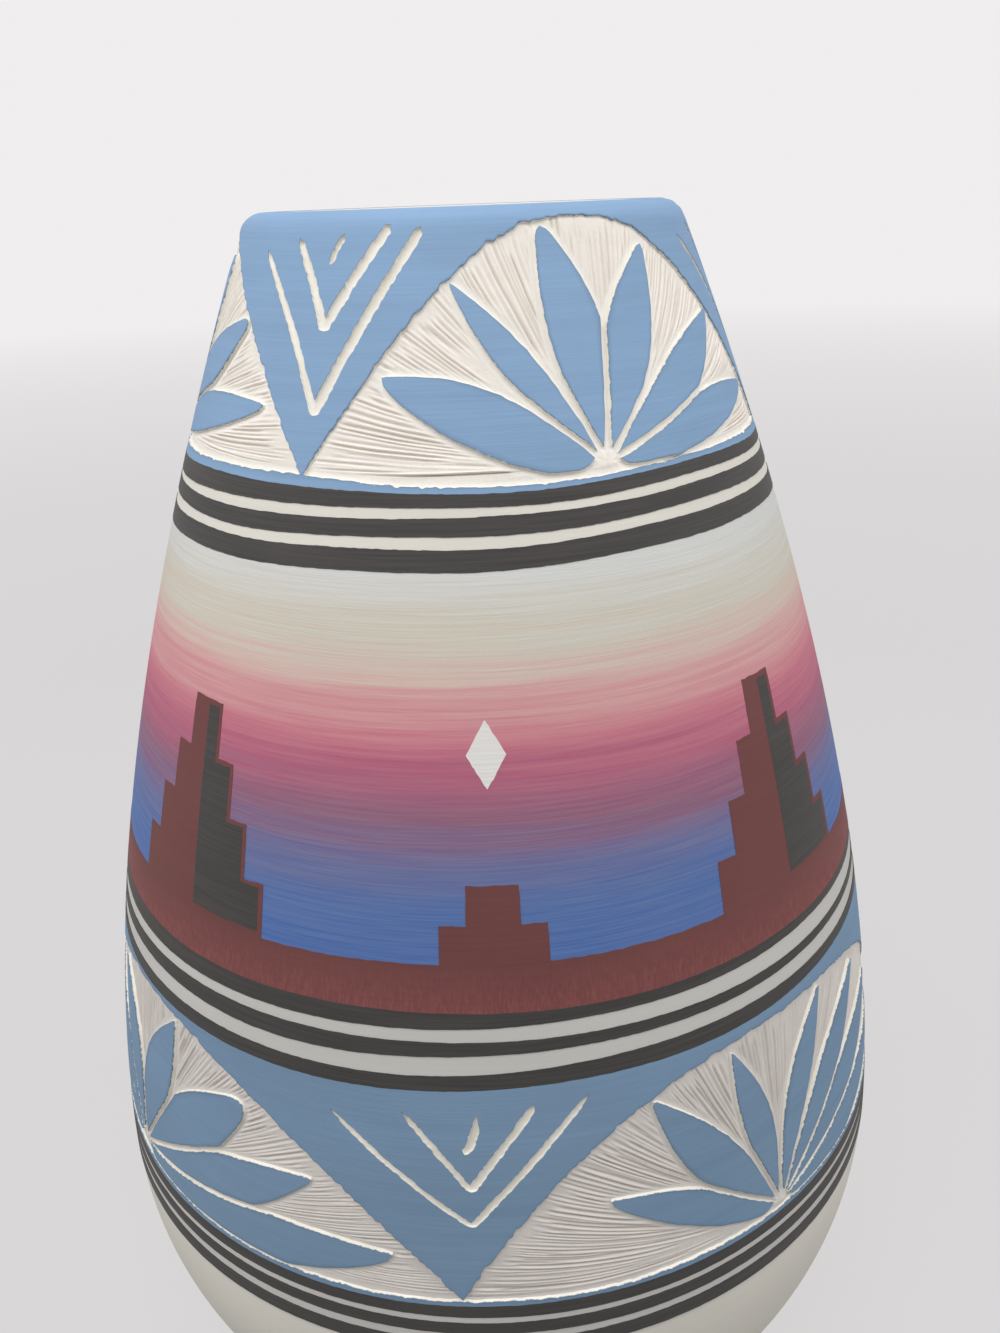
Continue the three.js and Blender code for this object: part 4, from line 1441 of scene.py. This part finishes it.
def blue_field(band, seed):
    """Blue slip above a row of arches, with a chipped edge and cream sides."""
    turn, height, root_turn, root_height = field_edge(band, seed)
    end = band.top + hand_drift(turn, band.top_drift)
    faces = band.rows + 1
    share = np.linspace(0, 1, faces) ** 1.25
    inset = 0.32
    face = height + inset + (end - height - inset) * share
    heights = np.concatenate([root_height, height, face, end, (root_height + end) / 2, root_height], axis=1)
    turns = np.concatenate([root_turn, np.repeat(turn, faces + 3, axis=1), root_turn], axis=1)
    depth = np.concatenate([[SLIP_ROOT, SLIP_TOP + 0.03], np.full(faces, SLIP_TOP), np.full(3, SLIP_ROOT)])
    cut = np.concatenate([[1.0, 0.06], np.zeros(faces), np.ones(3)])
    # Painted shadow along the chipped edge, on the root and the edge's top
    rim = np.concatenate([[1.0, 1.0], np.zeros(faces + 3)])
    return wrapped_grid(f"{band.name}_field", on_vase(turns, heights, depth), cut=cut, rim=rim)


# Section of a groove bar: share of its half width and depth, from over the slip down to the groove's floor
GROOVE_SECTION = (
    (-1.0, -0.4), (1.0, -0.4), (0.97, 0.12), (0.8, 0.42), (0.4, GROOVE_FLOOR),
    (-0.4, GROOVE_FLOOR), (-0.8, 0.42), (-0.97, 0.12), (-1.0, -0.4),
)


def groove_cutter(start, end, bow, width, point, seed):
    """A rough-edged bar that cuts one groove, narrower at its floor and drawn in at both ends."""
    rng = np.random.default_rng(seed)
    share = np.linspace(0, 1, GROOVE_STEPS + 1)
    scale = float(degree_length((start[1] + end[1]) / 2))
    along = np.array([(end[0] - start[0]) * scale, end[1] - start[1]])
    length = float(np.hypot(*along))
    along /= length
    side = np.array([-along[1] / scale, along[0]])
    bend = (bow + rng.uniform(-0.2, 0.2)) * np.sin(np.pi * share)
    spine = start + (end - start) * share[:, None] + side * bend[:, None]
    distance = share * length
    grow = 0.92 + 0.12 * share
    halves = []
    fine, coarse = GROOVE_CHIPS
    for edge in (0, 1):
        upper_end = np.clip((distance - rng.uniform(0, 0.5)) / point, 0.02, 1) ** 0.6
        lower_end = np.clip((length - distance) / 0.8, 0.02, 1) ** 0.5
        chips = rough(distance, seed + 3 + edge, *fine) + rough(distance, seed + 7 + edge, *coarse)
        halves.append((np.maximum(0.25, width / 2 * grow + chips) * upper_end * lower_end)[:, None])
    sides, depths = np.array(GROOVE_SECTION).T
    across = np.where(sides < 0, *halves) * sides
    closed = np.zeros((1, len(sides)))
    across = np.concatenate([closed, across, closed])
    depth = np.concatenate([closed + 0.3, np.broadcast_to(depths, (len(share), len(sides))), closed + 0.3])
    spine = np.concatenate([spine[:1], spine, spine[-1:]])
    points = on_vase(spine[:, :1] + side[0] * across, spine[:, 1:] + side[1] * across, depth)
    return wrapped_grid("groove_bar", points)


def surface_depth(points):
    """Depth of points under the painted surface."""
    radius = np.hypot(points[:, 0], points[:, 1]) / MM
    level = points[:, 2] / MM
    wall_level = np.minimum(level, LIP_START)
    wall = (wall_radius(wall_level) - radius) * np.cos(wall_tilt(wall_level))
    lip = LIP_RADIUS - np.hypot(radius - LIP_CENTRE, level - (HEIGHT - LIP_RADIUS))
    depth = np.where(level > LIP_START - 0.6, np.minimum(np.abs(lip), np.abs(wall)), wall)
    return np.where((level > HEIGHT - LIP_RADIUS) & (radius < LIP_CENTRE), HEIGHT - level, depth)


def cut_grooves(field, band, width, seed):
    """Cuts the V grooves through a blue field, in rounds of bars that don't meet each other."""
    for chosen in GROOVE_ROUNDS:
        bars = []
        for arch_index, arch in enumerate(band.arches):
            meeting = np.array([arch.middle - arch.half, band.ground])
            for index in chosen:
                groove = band.grooves[index]
                bars.append(groove_cutter(meeting + groove.start, meeting + groove.end, groove.bow,
                                          width * groove.width, groove.point,
                                          seed + arch_index * 31 + index * 5))
        bar = join(bars)
        modifier = field.modifiers.new("groove", "BOOLEAN")
        modifier.operation = "DIFFERENCE"
        modifier.object = bar
        modifier.solver = "MANIFOLD"
        pick(field)
        bpy.ops.object.modifier_apply(modifier=modifier.name)
        bpy.data.objects.remove(bar)


def mark_cuts(field):
    """Gives every point of a blue field its share of cut clay, by its depth."""
    points = np.empty(len(field.data.vertices) * 3, np.float32)
    field.data.vertices.foreach_get("co", points)
    depth = surface_depth(points.reshape(-1, 3).astype(float))
    cut = smooth_step(depth, SLIP_TOP + 0.05, SLIP_TOP + 0.3)
    field.data.attributes["cut"].data.foreach_set("value", cut.astype(np.float32))


class VASE_OT_blue_fields(bpy.types.Operator):
    """Lays the blue slip above the arches and on the lip, and cuts the V grooves through it"""

    bl_idname = "vase.blue_fields"
    bl_label = "Blue Fields"

    def execute(self, context):
        width = settings_of(context).groove / MM
        for index, band in enumerate(BANDS):
            field = blue_field(band, 500 + index * 40)
            cut_grooves(field, band, width, 700 + index * 200)
            mark_cuts(field)
            finish_piece(field, blue_slip, [f"{band.name}_blue_field"])
        return {"FINISHED"}


# Section of a blue line, from its lower edge up over the upper one and back under it: share of its height,
# rise beyond it, depth, how far cut to the clay, and how much painted shadow along the edge
SLIP_LINE_SECTION = (
    (0.0, 0.0, SLIP_TOP, 0.0, 0.0),
    (0.5, 0.0, SLIP_TOP, 0.0, 0.0),
    (0.85, 0.0, SLIP_TOP, 0.0, 0.2),
    (1.0, 0.0, SLIP_TOP, 0.06, 0.8),
    (1.0, 0.25, SLIP_ROOT - 0.1, 1.0, 0.0),
    (0.0, 0.0, SLIP_ROOT - 0.1, 1.0, 0.0),
    (0.0, 0.0, SLIP_TOP, 0.0, 0.0),
)


class VASE_OT_blue_lines(bpy.types.Operator):
    """Leaves the thin blue line standing under each etched band"""

    bl_idname = "vase.blue_lines"
    bl_label = "Blue Lines"

    def execute(self, context):
        turn = round_turns(SLIP_LINE_COLUMNS)
        share, rise, depth, cut, rim = np.array(SLIP_LINE_SECTION).T
        for index, band in enumerate(BANDS):
            low, high = node_span(f"{band.name}_blue_line")
            low_drift, high_drift = band.line_drifts
            length = turn * float(degree_length(low))
            teeth = np.maximum(0, closed_rough(length, 87 + index, *SLIP_LINE_TEETH) - TEETH_FLOOR)
            upper = high + hand_drift(turn, high_drift) + wobble(turn, 81 + index, 0.07, (5, 16))
            upper += closed_rough(length, 83 + index, 0.1) - teeth
            lower = low - 0.7 + hand_drift(turn, low_drift)
            height = lower + (upper - lower) * share + rise
            piece = wrapped_grid(f"{band.name}_line_of_slip", on_vase(turn, height, depth), cut=cut, rim=rim)
            finish_piece(piece, blue_slip, [f"{band.name}_blue_line"])
        return {"FINISHED"}


# Stage

CAMERA_PLACE = (0.0, -0.216, 0.2388)
CAMERA_PITCH = 21.751
CAMERA_YAW = 0.942
CAMERA_ROLL = -2.160
CAMERA_LENS = 31.69
FLOOR_SIZE = 60.0
FLOOR_BOUNCE = 0.4

# The seen floor is a little darker near the vase: distances in metres and shares of its glow there
FLOOR_GLOW = (0.45, 2.6, 0.68, 1.0)

# Soft lamps: name, place, size, power as a share of the key light, colour
LAMPS_AIM = (0, 0, 0.17)
LAMPS = (
    ("key_lamp", (-0.12, -0.42, 0.9), 0.7, 1.8, (1.0, 0.995, 0.99)),
    ("left_lamp", (-0.65, -0.15, 0.65), 0.6, 0.95, (0.99, 0.99, 1.0)),
    ("right_lamp", (0.65, -0.15, 0.65), 0.6, 1.15, (0.99, 0.99, 1.0)),
)


def add_camera():
    pitch, yaw, roll = (value * DEGREE for value in (CAMERA_PITCH, CAMERA_YAW, CAMERA_ROLL))
    forward = Vector((math.sin(yaw) * math.cos(pitch), math.cos(yaw) * math.cos(pitch), -math.sin(pitch)))
    level = Vector((math.cos(yaw), -math.sin(yaw), 0))
    up = level.cross(forward)
    right = math.cos(roll) * level + math.sin(roll) * up
    up = math.cos(roll) * up - math.sin(roll) * level
    pick()
    bpy.ops.object.camera_add()
    camera = bpy.context.object
    camera.name = "photo_camera"
    turn = Matrix((right, up, -forward)).transposed()
    camera.matrix_world = Matrix.Translation(CAMERA_PLACE) @ turn.to_4x4()
    camera.data.lens = CAMERA_LENS
    camera.data.sensor_width = 36
    camera.data.clip_start = 0.01
    bpy.context.scene.camera = camera


def add_lamp(name, place, size, power, colour):
    pick()
    bpy.ops.object.light_add(type="AREA", location=place)
    lamp = bpy.context.object
    lamp.name = name
    lamp.data.shape = "DISK"
    lamp.data.size = size
    lamp.data.energy = power
    lamp.data.color = colour
    lamp.rotation_euler = (Vector(LAMPS_AIM) - Vector(place)).to_track_quat("-Z", "Y").to_euler()


def seen_share(nodes):
    """1 for rays from the camera, a mirror or glass, 0 for light on its way to a surface."""
    path = nodes.add("ShaderNodeLightPath").outputs
    return nodes.math("MAXIMUM", path["Is Camera Ray"], path["Is Glossy Ray"], path["Is Transmission Ray"])


def add_floor(pale):
    """A pale floor that gives back some of the light, and looks evenly lit from afar."""
    pick()
    bpy.ops.mesh.primitive_plane_add(size=FLOOR_SIZE)
    floor = bpy.context.object
    floor.name = "floor"
    material = bpy.data.materials.new("floor")
    nodes = new_tree(material)
    away = nodes.add("ShaderNodeVectorMath", operation="LENGTH")
    nodes.link(nodes.place(), away.inputs[0])
    share = nodes.times(seen_share(nodes), nodes.range(away.outputs["Value"], *FLOOR_GLOW))
    bounce = nodes.socket("ShaderNodeBsdfDiffuse", Color=scaled(pale, FLOOR_BOUNCE))
    glow = nodes.socket("ShaderNodeEmission", Color=pale)
    both = nodes.fill(nodes.add("ShaderNodeMixShader"), share, bounce, glow)
    nodes.link(both, nodes.add("ShaderNodeOutputMaterial").inputs[0])
    floor.data.materials.append(material)


def add_room(scene, pale, level):
    """A backdrop of one colour, with light from all round at its own level."""
    scene.world = bpy.data.worlds.new("soft_room")
    nodes = new_tree(scene.world)
    light = nodes.socket("ShaderNodeBackground", Strength=level)
    seen = nodes.socket("ShaderNodeBackground", Color=pale)
    both = nodes.fill(nodes.add("ShaderNodeMixShader"), seen_share(nodes), light, seen)
    nodes.link(both, nodes.add("ShaderNodeOutputWorld").inputs[0])


class VASE_OT_stage(bpy.types.Operator):
    """Sets the camera, the pale floor, the backdrop and the soft lamps"""

    bl_idname = "vase.stage"
    bl_label = "Stage"

    def execute(self, context):
        settings = settings_of(context)
        pale = scaled(settings.background)
        add_camera()
        add_floor(pale)
        add_room(context.scene, pale, settings.fill_level)
        for name, place, size, share, colour in LAMPS:
            add_lamp(name, place, size, settings.key_power * share, colour)
        context.scene.view_settings.view_transform = "Standard"
        return {"FINISHED"}


class VASE_PT_panel(bpy.types.Panel):
    """Steps and settings of the vase"""

    bl_idname = "VASE_PT_panel"
    bl_label = "Etched Pottery Vase"
    bl_space_type = "VIEW_3D"
    bl_region_type = "UI"
    bl_category = "Vase"

    def draw(self, context):
        for name in VaseSettings.__annotations__:
            if name != "sunset":
                self.layout.prop(context.scene.vase, name)
        for step in STEPS:
            self.layout.operator(step.bl_idname)


STEPS = (
    VASE_OT_stage,
    VASE_OT_clay_body,
    VASE_OT_inner_glaze,
    VASE_OT_etched_grounds,
    VASE_OT_petals,
    VASE_OT_blue_fields,
    VASE_OT_blue_lines,
    VASE_OT_black_lines,
    VASE_OT_sunset,
    VASE_OT_earth,
    VASE_OT_marks,
)
CLASSES = (VaseColourStop, VaseSettings) + STEPS + (VASE_PT_panel,)


def register():
    for entry in CLASSES:
        bpy.utils.register_class(entry)
    bpy.types.Scene.vase = bpy.props.PointerProperty(type=VaseSettings)


def unregister():
    del bpy.types.Scene.vase
    for entry in reversed(CLASSES):
        bpy.utils.unregister_class(entry)


def main():
    register()
    build_wheel_streaks()
    build_specks()
    build_clay_grain()
    for step in STEPS:
        group, name = step.bl_idname.split(".")
        getattr(getattr(bpy.ops, group), name)()


if __name__ == "__main__":
    main()
